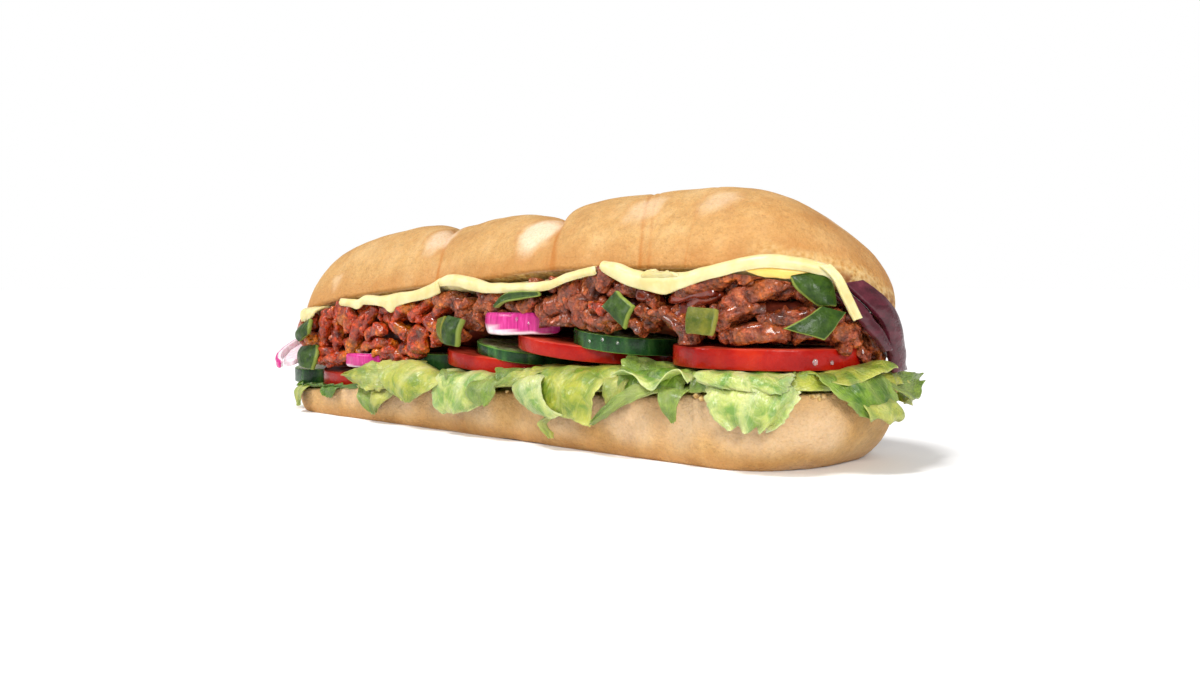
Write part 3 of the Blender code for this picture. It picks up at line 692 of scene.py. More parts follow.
def loose_crumbs():
    """Crumbs torn loose along the front of the lower cut."""
    rng = random.Random(11)
    bm = bmesh.new()
    _, _, _, crumb, sauce = new_layers(bm, BREAD_LAYERS)
    for k in range(60):
        centre, out = rim(rng.choice((rng.uniform(108, 190), rng.uniform(-130, 108))))
        reach = rng.uniform(-0.8, 0.6)
        z = floor_cut(centre.x) + rng.uniform(-1.8, 0.6)
        place = Vector((centre.x + out.x * reach, centre.y + out.y * reach, z))
        stain_and_shade = rng.uniform(0.0, 0.6)
        for v in bmesh.ops.create_icosphere(bm, subdivisions=2, radius=rng.uniform(0.4, 1.0))["verts"]:
            v.co = v.co * (1 + 0.6 * swirl(v.co.x, v.co.y, v.co.z, 0.9, k)) + place
            v[crumb] = 1.0
            v[sauce] = stain_and_shade
    return bm


def roll():
    """Both halves, the uncut strip that joins them, and loose crumbs."""
    finish = crust_finish()
    for name, build in (("roll_upper_half", roll_upper), ("roll_lower_half", roll_lower),
                        ("roll_hinge", roll_hinge)):
        shown(name, build(), finish, ("roll",))
    shown("bread_crumbs", loose_crumbs(), finish, ("roll",))


# Sheets: leaves and cheese

def sheet(name, material, node, path, nu, nv, layers=()):
    """Thin closed sheet. path(u, v) gives a point, its thickness as a vector, and its layer values."""
    bm = bmesh.new()
    bm.loops.layers.uv.new("UVMap")
    bmesh.ops.create_grid(bm, x_segments=nu, y_segments=nv, size=0.5, calc_uvs=True)
    made = new_layers(bm, layers)
    bottom = list(bm.verts)
    grown = bmesh.ops.extrude_face_region(bm, geom=list(bm.faces))
    top = [g for g in grown["geom"] if isinstance(g, bmesh.types.BMVert)]
    known = {}
    for v in bottom:
        key = (round(v.co.x, 5), round(v.co.y, 5))
        known[key] = path(v.co.x + 0.5, v.co.y + 0.5)
    for group, raised in ((top, 1.0), (bottom, 0.0)):
        for v in group:
            p, n, values = known[(round(v.co.x, 5), round(v.co.y, 5))]
            v.co = p + n * raised
            for layer, value in zip(made, values):
                v[layer] = value
    bmesh.ops.recalc_face_normals(bm, faces=bm.faces)
    return shown(name, bm, material, (node,))


def along(rows, t):
    """Smooth run through evenly spaced rows of numbers."""
    n = len(rows) - 1
    f = min(n - 1e-6, max(0.0, t * n))
    i = int(f)
    f -= i
    four = (rows[max(0, i - 1)], rows[i], rows[i + 1], rows[min(n, i + 2)])
    return [0.5 * (2 * q + (r - p) * f + (2 * p - 5 * q + 4 * r - s) * f * f
                   + (3 * q - p - 3 * r + s) * f ** 3)
            for p, q, r, s in zip(*four)]


def faced(surface, u, v, step):
    """Point of a surface and the direction it faces."""
    du = surface(min(1.0, u + step), v) - surface(max(0.0, u - step), v)
    dv = surface(u, min(1.0, v + step)) - surface(u, max(0.0, v - step))
    n = dv.cross(du)
    return surface(u, v), n.normalized() if n.length > 1e-9 else Vector((0, 0, 1))


def rounded(border, soft):
    """Share of the full thickness at a distance from the border, for an edge as round as soft."""
    return math.sqrt(max(0.04, 1 - (1 - min(1.0, border / soft)) ** 2))


def patch(name, node, finish, slot, rows, thick=0.45, bulge=0.8, ruffle=0.6, waves=2.0, jag=1.0, seed=1,
          rib=0.4, crinkle=0.20, swell=1.0, nu=44, nv=37, margin=()):
    """Sheet from its root to its tip. A row is (s, z, out) of one side edge, then of the other."""
    width = max(math.hypot(r[3] - r[0], r[4] - r[1]) for r in rows)
    length = sum(math.dist(p[:3], q[:3]) for p, q in zip(rows, rows[1:]))
    soft = min(0.9, 0.5 * thick)

    def surface(u, v):
        s0, z0, r0, s1, z1, r1 = along(rows, v)
        s, z, r = s0 + (s1 - s0) * u, z0 + (z1 - z0) * u, r0 + (r1 - r0) * u
        if margin:
            z += through(margin, s) * v ** 3
        centre, out = rim(s)
        return Vector((centre.x + out.x * r, centre.y + out.y * r, z))

    def path(u, v):
        side = abs(2 * u - 1)
        tear = swirl(v * length, 0, 0, 4.2, seed) + 0.6 * swirl(v * length, 0, 0, 1.7, seed + 1)
        ue = u - math.copysign(side ** 5 * jag * (0.5 + tear) / width, u - 0.5)
        tear = swirl(u * width, 0, 0, 4.0, seed + 2) + 0.6 * swirl(u * width, 0, 0, 1.6, seed + 3)
        ve = v * (1 - v ** 4 * jag * (0.6 + tear) / length)
        p, n = faced(surface, ue, ve, 0.01)
        border = min(u * width, (1 - u) * width, (1 - v) * length)
        frill = math.exp(-border / 3.5)
        beat = 2 * math.pi * (waves * u + 0.6 * swirl(u * width, v * length, 0, 12, seed + 4)) + seed
        push = bulge * (0.3 + 0.7 * math.sin(math.pi * u)) * smooth(0.0, 0.5, v)
        push += ruffle * (0.25 + frill) * v ** 0.7 * math.sin(beat)
        fine = 1 - 2 * abs(swirl(p.x, p.y, p.z, 3.4, seed + 5))
        push += swell * swirl(p.x, p.y, p.z, 6.5, seed) + crinkle * fine
        p = p + n * push
        off = u - 0.5 - 0.15 * swirl(v * length, 0, 0, 14, seed)
        stalk = math.exp(-(off * width / 2.2) ** 2) * (1 - 0.8 * v)
        round_off = rounded(border, soft)
        p = p + n * (thick * 0.5 * (1 - round_off))
        ribbing = min(1.0, rib * (stalk + 0.5 * smooth(0.8, 0.1, v)))
        return p, n * (thick * round_off), (math.exp(-border / 1.1), frill, ribbing)

    return sheet(name, finish, node, path, nu, nv, ("cut", "edge", "rib"))


def frond(name, node, finish, rows, **form):
    """Part of a leaf."""
    return patch(name, node, finish, "lettuce", rows, **form)


def slice_floor(x):
    """Underside of the slices, which the lettuce reaches."""
    return through(((-155, 11.0), (-122, 11.4), (-110, 13.4), (-72, 13.8), (-62, 18.6), (-31, 20.6),
                    (-10, 23.4), (20, 23.6), (27, 27.6), (66, 28.0), (80, 30.4), (160, 31.4)), x)


def leaf_bed(name, node, finish, s0, s1, inside, seed, nu=76):
    """Crumpled leaf between the bread and the slices."""
    rows = []
    for s in (s0, s1):
        x = min(145.0, max(-145.0, rim(s)[0].x))
        cut, top = floor_cut(x), slice_floor(x)
        rows.append(((s, cut + 0.9, -inside), (s, top - 0.9, -0.55 * inside), (s, top - 0.7, -6.0),
                     (s, top - 1.2, -1.0), (s, 0.5 * (cut + top), 1.2), (s, cut + 1.0, 1.8)))
    frond(name, node, finish, [a + b for a, b in zip(*rows)], bulge=0.2, ruffle=0.9, waves=(s1 - s0) / 9.0,
          jag=0.8, seed=seed, nu=nu, nv=22)


def cheese(name, node, finish, inside, upper, lower, out=2.2, thick=1.5, nu=109, nv=40, seed=3):
    """Slice under the upper half; upper and lower are the heights of its front fold and of its edge."""
    s0, s1 = lower[0][0], lower[-1][0]

    def surface(u, v):
        s = s0 + (s1 - s0) * u
        centre, away = lid_rim(s)

        def roof(r):
            return lid_under(centre.x + away.x * r, centre.y + away.y * r) - thick - 0.9

        hi, lo = through(upper, s), through(lower, s)
        rows = [(r, roof(r)) for r in (-inside, -0.5 * inside, -6.0)]
        rows += [(-1.6, min(roof(-1.6), hi - 1.4)), (out - 1.0, hi - 0.7), (out, 0.6 * hi + 0.4 * lo),
                 (out - 0.5, lo)]
        r, z = along(rows, v)
        r += 0.5 * swirl(s, 0, 0, 7, seed) * v
        return Vector((centre.x + away.x * r, centre.y + away.y * r, z))

    def path(u, v):
        p, n = faced(surface, u, v, 0.004)
        border = min(u * (s1 - s0), (1 - u) * (s1 - s0), (1 - v) * inside)
        round_off = rounded(border, 0.8)
        lift = thick * 0.5 * (1 - round_off) + 0.15 * swirl(p.x, p.y, p.z, 5, seed)
        return p + n * lift, n * (thick * round_off), ()

    return sheet(name, finish, node, path, nu, nv)


# Slices

def round_slice(name, node, finish, x, y, z, radius, thick, tilt_x=0.0, tilt_y=0.0, corner=1.0, seed=1,
                pockets=6, pocket_in=0.30, pocket_out=0.80, pocket_depth=0.5, streaks=0):
    """Round slice with a skin, a rounded rim and seed pockets pressed into its cut faces."""
    around, rings = 96, 52
    face = 22
    corner_steps = 5
    profile = [((radius - corner) * (k / face) ** 0.8, thick / 2) for k in range(face)]
    profile += [(radius - corner + corner * math.sin(a), thick / 2 - corner + corner * math.cos(a))
                for a in (math.pi / 2 * k / corner_steps for k in range(corner_steps + 1))]
    half = rings // 2
    side = half - len(profile)
    profile += [(radius + 0.15 * math.sin(math.pi * k / side / 2), (thick / 2 - corner) * (1 - k / side))
                for k in range(1, side + 1)]
    profile += [(r, -h) for r, h in reversed(profile[:-1])]
    rings = len(profile) - 1
    ax, ay = math.tan(math.radians(tilt_x)), math.tan(math.radians(tilt_y))
    bm = ball(rings, around)
    skin, pocket, rad, streak = new_layers(bm, ("skin", "pocket", "radius", "streak"))
    for v in bm.verts:
        down, a = turns(v)
        i = round(down * rings)
        r, h = profile[i]
        k = 1 + 0.018 * math.sin(3 * a + seed) + 0.008 * math.sin(5 * a) + 0.004 * math.sin(11 * a + seed)
        share = r / radius
        inner = pocket_in + 0.06 * math.sin(2 * a + seed)
        lobe = 0.5 + 0.5 * math.cos(pockets * a + seed + 0.5 * math.sin(2 * a))
        between = smooth(inner, inner + 0.1, share) * smooth(pocket_out, pocket_out - 0.1, share)
        mask = between * smooth(0.15, 0.45, lobe)
        flat = 1.0 if i < face or i > rings - face else 0.0
        h -= math.copysign(pocket_depth * mask * flat, h)
        h += 0.18 * swirl(r * math.cos(a), r * math.sin(a), 0, 5, seed) * flat
        v[skin] = 0.0 if flat else (1.0 if abs(h) < thick / 2 - 0.5 * corner else 0.35)
        v[pocket] = mask * flat
        v[rad] = min(1.0, share)
        stripe = swirl(math.cos(a) * 9, math.sin(a) * 9, h * 0.06, 1.0, seed)
        v[streak] = 0.5 + 0.5 * stripe if streaks else 0.0
        px, py = r * math.cos(a) * k, r * math.sin(a) * k
        v.co = Vector((x + px, y + py, z + h + px * ay + py * ax))
    bmesh.ops.recalc_face_normals(bm, faces=bm.faces)
    return shown(name, bm, finish, (node,))


# Bars: onion, pepper and beef

def bar_bmesh(along, around, length, height, depth, boxy, end_round, shape, layers=()):
    """Bar reshaped by shape(t, a, along, up, deep), t from 0 to 1 along it and a the angle round it."""
    bm = ball(along, around)
    made = new_layers(bm, layers)
    for v in bm.verts:
        i, a = turns(v)
        t = 0.5 - 0.5 * math.copysign(abs(math.cos(math.pi * i)) ** end_round, math.cos(math.pi * i))
        size = math.sin(math.pi * i) ** end_round if 0 < i < 1 else 0.0
        up = 0.5 * height * size * math.copysign(abs(math.sin(a)) ** boxy, math.sin(a))
        deep = 0.5 * depth * size * math.copysign(abs(math.cos(a)) ** boxy, math.cos(a))
        v.co, values = shape(t, a, (t - 0.5) * length, up, deep)
        for layer, value in zip(made, values):
            v[layer] = value
    bmesh.ops.recalc_face_normals(bm, faces=bm.faces)
    return bm


def onion_ring(name, node, finish, centre, radius, a0, a1, width, height, seed=1, under=(-1.0, -1.0),
               slope=0.0):
    """Piece of an onion ring, purple outside; under is how far up its foot is white, end to end."""
    span = math.radians(a1 - a0)

    def shape(t, a, along, up, deep):
        thin = 1 - 0.3 * abs(2 * t - 1) ** 3
        angle = math.radians(a0) + span * t
        r = radius + deep * thin + 0.35 * math.cos(up / height * 3.0)
        r += 0.5 * swirl(angle * 6, up, 0, 2.5, seed)
        z = up * (1 - 0.12 * abs(2 * t - 1)) + 0.5 * swirl(angle * 5, 0, 0, 2.0, seed + 1)
        foot = under[0] + (under[1] - under[0]) * t + 0.06 * swirl(t * 20, 0, 0, 2, seed)
        outer = smooth(0.0, 0.22, deep / width) * smooth(foot - 0.03, foot + 0.04, up / height + 0.5)
        back = r * math.sin(angle) + radius
        place = Vector((r * math.cos(angle), r * math.sin(angle), z + slope * back))
        return Vector(centre) + place, (outer,)

    bm = bar_bmesh(90, 40, 1.0, height, width, 0.45, 0.30, shape, ("skin",))
    return shown(name, bm, finish, (node,))


def on_face(s, z, along, up, deep, turn, out):
    """Place on the filling's face: along the rim, up, and deep into the filling."""
    c, k = math.cos(math.radians(turn)), math.sin(math.radians(turn))
    a, u = along * c - up * k, along * k + up * c
    centre, away = rim(s + a)
    r = out - deep
    return Vector((centre.x + away.x * r, centre.y + away.y * r, z + u))


# Beef

def heap_top(x, y):
    """Top of the beef, under the cheese."""
    return lid_under(x, max(y, -36.0)) - CHEESE_ROOM


def heap_floor(x):
    """Bottom of the beef, over the slices."""
    return through(((-142, 27.8), (-128, 26.5), (-95, 25.0), (-66, 25.5), (-45, 26.0), (-36, 28.8),
                    (-16, 32.9), (4, 39.4), (8, 40.6), (30, 38.6), (38, 42.3), (42, 42.5), (78, 38.9),
                    (86, 38.4), (146.5, 38.4), (149, 32.0)), x)


def within_heap(p):
    """Keeps the beef clear of the cheese above and the slices below."""
    low = heap_floor(p.x) + 0.3 - 5.0 * smooth(-30, -60, p.x) - 5.0 * smooth(142, 149, p.x)
    high = max(heap_top(p.x, p.y), low + 1.2) + 1.0 + 3.0 * smooth(-37, -40, p.y)
    if p.z < low:
        p.z = low - 0.06 * (low - p.z)
    elif p.z > high:
        p.z = high + 0.06 * (p.z - high)
    return p


def beef_core():
    """Body of the heap behind the strips, in a dark sauce colour that also stands in for painted shade
    between them.
    """
    along = stations(-141, 143, 26, 30, 3.0, 14)
    around = 40

    def place(i, j):
        x = along[i]
        w = cap(x, 145, -143, 30, 26)
        a = 2 * math.pi * j / around
        y = -9.0 + 18.0 * w * math.copysign(abs(math.cos(a)) ** 0.7, math.cos(a))
        low, high = heap_floor(x) + 1.0, heap_top(x, y) - 0.6
        mid = 0.5 * (low + high)
        up = max(0.4, high - mid) * math.copysign(abs(math.sin(a)) ** 0.7, math.sin(a))
        p = Vector((x, y + 1.6 * swirl(x, y, mid + up, 6, 4), mid + up + 1.2 * swirl(x, y, mid + up, 5, 8)))
        return within_heap(p)

    return reshaped_ball(len(along) - 1, around, place)


CRUMBLY, SLICED, SMOOTH = "crumbly", "sliced", "smooth"


def beef_strip(bm_all, crease, kind, s, z, length, height, depth, turn, bow, out, twist, seed):
    """One strip, added to the heap: crumbly, a thin folded slice, or a smooth glazed one."""
    lump, grit, ball = {CRUMBLY: (1.5, 1.05, 1.7), SLICED: (1.2, 0.5, 2.2), SMOOTH: (0.7, 0.2, 2.6)}[kind]

    def shape(t, a, run, up, deep):
        spot = Vector((run, up, deep))
        bump = lump * swirl(run, up, deep, 5.2, seed) + 0.5 * lump * swirl(run, up, deep, 2.6, seed + 1)
        near = noise.voronoi(spot / ball + Vector((seed * 1.9, 0, seed)))[0][0]
        grain = grit * (0.62 - min(1.1, near)) + 0.25 * grit * swirl(run, up, deep, 0.8, seed + 7)
        grow = 1.0 + 0.24 * swirl(run, 0, 0, 5, seed + 2)
        up, deep = up * grow, deep * grow
        size = math.hypot(up, deep) + 1e-6
        push = (bump + grain) / max(size, 1.4)
        up, deep = up * (1 + push), deep * (1 + push)
        roll_angle = math.radians(twist) * (t - 0.5)
        c, k = math.cos(roll_angle), math.sin(roll_angle)
        up, deep = up * c - deep * k, up * k + deep * c
        up += bow * (1 - (2 * t - 1) ** 2) + 1.1 * swirl(run, 0, 0, 8, seed + 6)
        deep += 1.2 * swirl(run, 0, 0, 10, seed + 4)
        run += 0.8 * swirl(up, deep, run, 4, seed + 8)
        p = within_heap(on_face(s, z, run, up, deep + 0.5 * depth, turn, out))
        # The crease value is low in the hollows of the bumps; the finish paints shade there.
        return p, (min(1.0, max(0.0, 0.72 + 0.45 * bump / lump + 0.55 * grain / grit)),)

    part = bar_bmesh(round(19 + 1.3 * length), 28, length, height, depth, 0.72, 0.55, shape, ("crease",))
    scrap = bpy.data.meshes.new("strip")
    part.to_mesh(scrap)
    part.free()
    bm_all.from_mesh(scrap)
    bpy.data.meshes.remove(scrap)


# kind, s, z, length, height, depth, turn, bow, out, twist
NEAR_STRIPS = (
    (CRUMBLY, 129, 54.0, 32, 7.4, 10, 15, 1.5, -0.5, 40), (CRUMBLY, 121, 48.0, 15, 6.0, 9, 28, 1.0, -0.2, 30),
    (CRUMBLY, 139, 48.4, 21, 5.4, 9, 17, -1.0, -1.0, -30),
    (CRUMBLY, 127, 42.2, 24, 6.4, 10, 1, 0.6, -0.4, 20),
    (CRUMBLY, 158, 42.5, 12, 8.0, 9, -8, 0.5, 0.6, 20), (CRUMBLY, 168, 41.0, 13, 4.4, 6, -50, 0.5, 0.2, 30),
    (CRUMBLY, 173, 36.5, 14, 3.6, 5, -56, 1.0, -0.2, -30),
    (CRUMBLY, 180, 35.5, 13, 4.4, 6, -50, 1.0, -1.6, -30), (CRUMBLY, 153, 47.5, 8, 5.0, 8, -20, 0.0, -0.6, 0),
    (SLICED, 114, 58.4, 33, 6.4, 8, 13, 1.0, -0.6, 30), (CRUMBLY, 134, 60.6, 13, 6.5, 8, -8, 0.5, -0.6, 20),
    (CRUMBLY, 126, 61.0, 10, 4.0, 7, 30, 0.5, -0.4, 20), (SMOOTH, 104, 54.0, 20, 4.0, 7, 8, 0.5, -1.6, 20),
    (CRUMBLY, 144, 54.0, 10, 6.0, 8, -30, 0.5, -3.0, 30), (SMOOTH, 106, 51.5, 18, 4.6, 8, 18, 1.0, -4.2, 20),
    (SLICED, 95, 44.5, 22, 3.8, 8, -27, 2.2, 0.2, 50), (CRUMBLY, 104, 41.0, 8, 7.0, 7, -70, 0.0, 1.4, 10),
    (SLICED, 88, 47.8, 16, 4.6, 8, -18, 1.0, -1.6, 50), (CRUMBLY, 116, 43.0, 14, 5.5, 9, -40, 1.0, -3.0, 20),
    (SMOOTH, 98, 47.0, 12, 6.5, 7, 30, 0.5, -3.0, 20), (CRUMBLY, 147, 43.5, 16, 6.0, 9, 4, 0.5, -3.4, 20),
    (CRUMBLY, 163, 46.5, 12, 5.5, 8, -30, 0.5, -3.4, 30),
    (CRUMBLY, 182, 41.0, 14, 6.0, 8, -30, 0.5, -2.2, 20),
    (CRUMBLY, 185, 38.5, 15, 5.4, 7, -62, 0.5, -0.8, 20),
    (CRUMBLY, 190, 35.0, 12, 5.4, 6, -40, 0.5, -1.4, 20),
    (CRUMBLY, 170, 34.6, 12, 5.0, 7, -15, 0.5, -1.8, 20),
    (CRUMBLY, 178, 34.0, 12, 5.0, 7, -25, 0.5, -2.4, 20),
    (CRUMBLY, 178, 46.0, 12, 5.0, 7, -45, 0.5, -1.6, 20),
    (CRUMBLY, 192, 39.5, 14, 6.0, 8, -10, 0.5, -3.0, 20), (CRUMBLY, 118, 51.0, 16, 6.0, 9, 70, 0.0, -3.6, 20),
)
MIDDLE_STRIPS = (
    (CRUMBLY, 60, 57.0, 12, 9.5, 9, 60, 0.5, -0.8, 20), (CRUMBLY, 68, 60.4, 11, 8.5, 8, 40, 0.5, 1.4, 20),
    (CRUMBLY, 74, 60.6, 9, 5.0, 6, -30, 0.5, 0.4, 20), (CRUMBLY, 83, 57.0, 9, 4.0, 6, -20, 0.5, 0.0, 20),
    (CRUMBLY, 76, 55.5, 12, 5.0, 8, -8, 0.5, -1.2, 30), (CRUMBLY, 49, 53.5, 13, 10.0, 9, 40, 0.5, -0.4, 20),
    (CRUMBLY, 55, 48.0, 12, 9.5, 9, -60, 0.5, -0.4, 20), (CRUMBLY, 42, 50.0, 10, 7.0, 8, 20, 0.5, -0.8, 20),
    (CRUMBLY, 62, 44.0, 12, 6.0, 7, -24, 0.8, -0.6, 60), (SLICED, 70, 45.8, 12, 4.4, 7, 16, 0.6, 0.4, 50),
    (CRUMBLY, 46, 42.4, 12, 8.0, 8, 35, 0.5, 0.0, 20), (SMOOTH, 86, 53.0, 10, 6.0, 7, -12, 0.5, -1.0, 10),
    (CRUMBLY, 8, 51.6, 19, 5.0, 8, 3, 0.8, -0.8, 30), (CRUMBLY, 2, 47.4, 18, 5.4, 8, 4, 0.5, -0.6, 20),
    (CRUMBLY, -4, 43.6, 11, 6.0, 8, 12, 0.5, -1.0, 20), (CRUMBLY, 29, 50.6, 9, 5.0, 7, 25, 0.5, -0.6, 20),
    (CRUMBLY, 20, 48.0, 10, 5.0, 7, -10, 0.5, -1.6, 20), (CRUMBLY, 36, 46.0, 10, 6.0, 8, -30, 0.5, -2.4, 20),
    (CRUMBLY, 22, 53.0, 16, 4.0, 8, 6, 0.5, -3.6, 20), (SLICED, 78, 44.0, 12, 4.0, 7, -30, 0.5, -1.4, 40),
    (CRUMBLY, -12, 47.5, 14, 7.0, 8, -50, 0.5, -1.2, 20), (CRUMBLY, -20, 51.0, 15, 6.5, 8, 14, 0.8, -1.4, 30),
    (CRUMBLY, 86, 46.5, 14, 6.0, 9, 40, 0.5, -4.0, 20), (CRUMBLY, 54, 55.0, 14, 7.0, 8, -10, 0.5, -4.0, 20),
)
FAR_STRIPS = (
    (SLICED, 66, 49.2, 9, 4.2, 5, -25, 0.4, 1.6, 20), (SLICED, -24, 46.0, 17, 5.0, 7, 30, 1.0, -0.4, 40),
    (SLICED, -34, 47.5, 20, 5.0, 7, 28, 1.2, -0.2, 50),
    (SLICED, -46, 45.4, 18, 5.2, 7, 24, 1.0, 0.0, 50), (SLICED, -36, 35.0, 11, 11.0, 5, 80, 1.0, 0.2, 30),
    (SLICED, -28, 40.0, 13, 7.0, 6, -30, 1.0, -0.2, 50), (SLICED, -22, 36.5, 12, 6.0, 6, 10, 1.0, -0.8, 40),
    (SLICED, -52, 39.0, 17, 5.0, 6, -34, 1.0, 0.0, 50), (SLICED, -63, 36.9, 13, 5.0, 4, 16, 1.4, 1.4, 20),
    (SLICED, -66, 31.4, 21, 3.8, 5, 12, 1.0, 0.4, 40), (SLICED, -60, 28.6, 16, 3.4, 5, 6, 0.8, 0.0, 30),
    (SLICED, -78, 36.0, 22, 5.6, 5, 58, 1.0, 0.8, 50), (SLICED, -72, 42.0, 16, 6.0, 6, 50, 1.0, -0.4, 40),
    (SLICED, -87, 43.0, 15, 11.0, 4, -24, 1.0, 0.6, 30), (SLICED, -102, 43.5, 9, 5.0, 5, 10, 0.5, 0.2, 20),
    (CRUMBLY, -95, 35.5, 16, 5.0, 7, 80, 0.5, -0.2, 20), (CRUMBLY, -104, 36.0, 16, 5.0, 7, 70, 0.5, 0.0, 20),
    (CRUMBLY, -112, 31.3, 16, 7.0, 7, 10, 0.5, -0.4, 20), (SLICED, -106, 26.6, 18, 4.2, 6, 4, 0.8, 1.4, 40),
    (SLICED, -95, 24.4, 14, 4.2, 6, 20, 0.8, 1.0, 40), (SLICED, -128, 35.5, 13, 9.0, 5, 50, 1.0, 0.6, 40),
    (CRUMBLY, -122, 39.0, 14, 6.0, 7, 20, 0.5, -0.8, 20), (CRUMBLY, -138, 34.5, 13, 8.0, 7, 40, 0.5, 0.4, 20),
    (CRUMBLY, -150, 33.5, 14, 7.0, 7, 20, 0.5, 0.2, 20),
    (CRUMBLY, -162, 33.0, 14, 7.0, 7, -20, 0.5, -0.6, 20),
    (SLICED, -58, 27.0, 20, 5.0, 6, 8, 0.6, -0.8, 40), (SLICED, -44, 29.5, 16, 5.0, 6, -6, 0.6, -1.4, 40),
    (SLICED, -84, 30.0, 16, 5.0, 6, -20, 0.8, -1.4, 40), (SLICED, -98, 24.0, 17, 3.6, 5, 6, 0.6, 2.2, 40),
    (SLICED, -88, 24.4, 15, 4.0, 6, 18, 0.6, 0.2, 40), (SLICED, -110, 23.6, 12, 4.0, 6, -6, 0.6, 0.6, 40),
    (SLICED, -80, 24.6, 16, 3.6, 6, -4, 0.6, -1.4, 40), (CRUMBLY, -118, 27.6, 12, 7.0, 7, 30, 0.5, 0.4, 20),
    (CRUMBLY, -130, 28.5, 14, 7.0, 7, 60, 0.5, -0.6, 20),
    (CRUMBLY, -146, 28.0, 16, 8.0, 7, 10, 0.5, -1.0, 20),
    (SLICED, -52, 25.0, 18, 4.0, 6, 6, 0.6, -2.4, 30), (CRUMBLY, -58, 45.0, 16, 6.0, 7, -10, 0.5, -2.4, 20),
    (CRUMBLY, -44, 32.0, 14, 6.0, 7, 10, 0.5, -2.4, 20), (CRUMBLY, -76, 46.0, 16, 5.0, 7, 4, 0.5, -3.0, 20),
)


def crumbs_of_beef(heap, crease, s0, s1, count, rng, first):
    """Small bits caught between the strips."""
    for k in range(count):
        s = rng.uniform(s0, s1)
        x = rim(s)[0].x
        low, high = heap_floor(x) + 1.0, heap_top(x, -36.0) - 0.5
        z = rng.uniform(low, max(low + 1.0, high))
        size = rng.uniform(3.0, 6.5)
        beef_strip(heap, crease, CRUMBLY, s, z, size, rng.uniform(2.4, 4.2), 5.0, rng.uniform(-80, 80), 0.0,
                   rng.uniform(-2.6, 0.0), 10, seed=first + k)


def beef():
    """Core, three heaps of strips with crumbs between them, and the strips dipped in sauce."""
    rng = random.Random(7)
    near = beef_finish("glazed_beef", (0.12, 0.014, 0.003), (0.45, 0.074, 0.018), (0.72, 0.19, 0.060),
                       (0.72, 0.17, 0.020))
    far = beef_finish("glazed_beef_slices", (0.22, 0.012, 0.001), (0.68, 0.052, 0.002), (0.88, 0.12, 0.006),
                      (0.95, 0.27, 0.004))
    shown("beef_core", beef_core(), glaze_and_gap_shade_finish(), ("beef",))
    dipped = bmesh.new()
    dipped_crease = dipped.verts.layers.float.new("crease")
    for name, rows, finish, first, span, bits in (("beef_strips_near", NEAR_STRIPS, near, 10, (92, 188), 26),
                                                  ("beef_strips_middle", MIDDLE_STRIPS, near, 60, (-24, 92),
                                                   30),
                                                  ("beef_strips_far", FAR_STRIPS, far, 110, (-150, -24), 30)):
        heap = bmesh.new()
        crease = heap.verts.layers.float.new("crease")
        for k, row in enumerate(rows):
            if row[0] == SMOOTH:
                beef_strip(dipped, dipped_crease, *row, seed=first + k)
            else:
                beef_strip(heap, crease, *row, seed=first + k)
        crumbs_of_beef(heap, crease, *span, bits, rng, 3 * first + 200)
        shown(name, heap, finish, ("beef",))
    shown("beef_dipped_pieces", dipped, dipped_finish(), ("beef",))


# Everything in its place

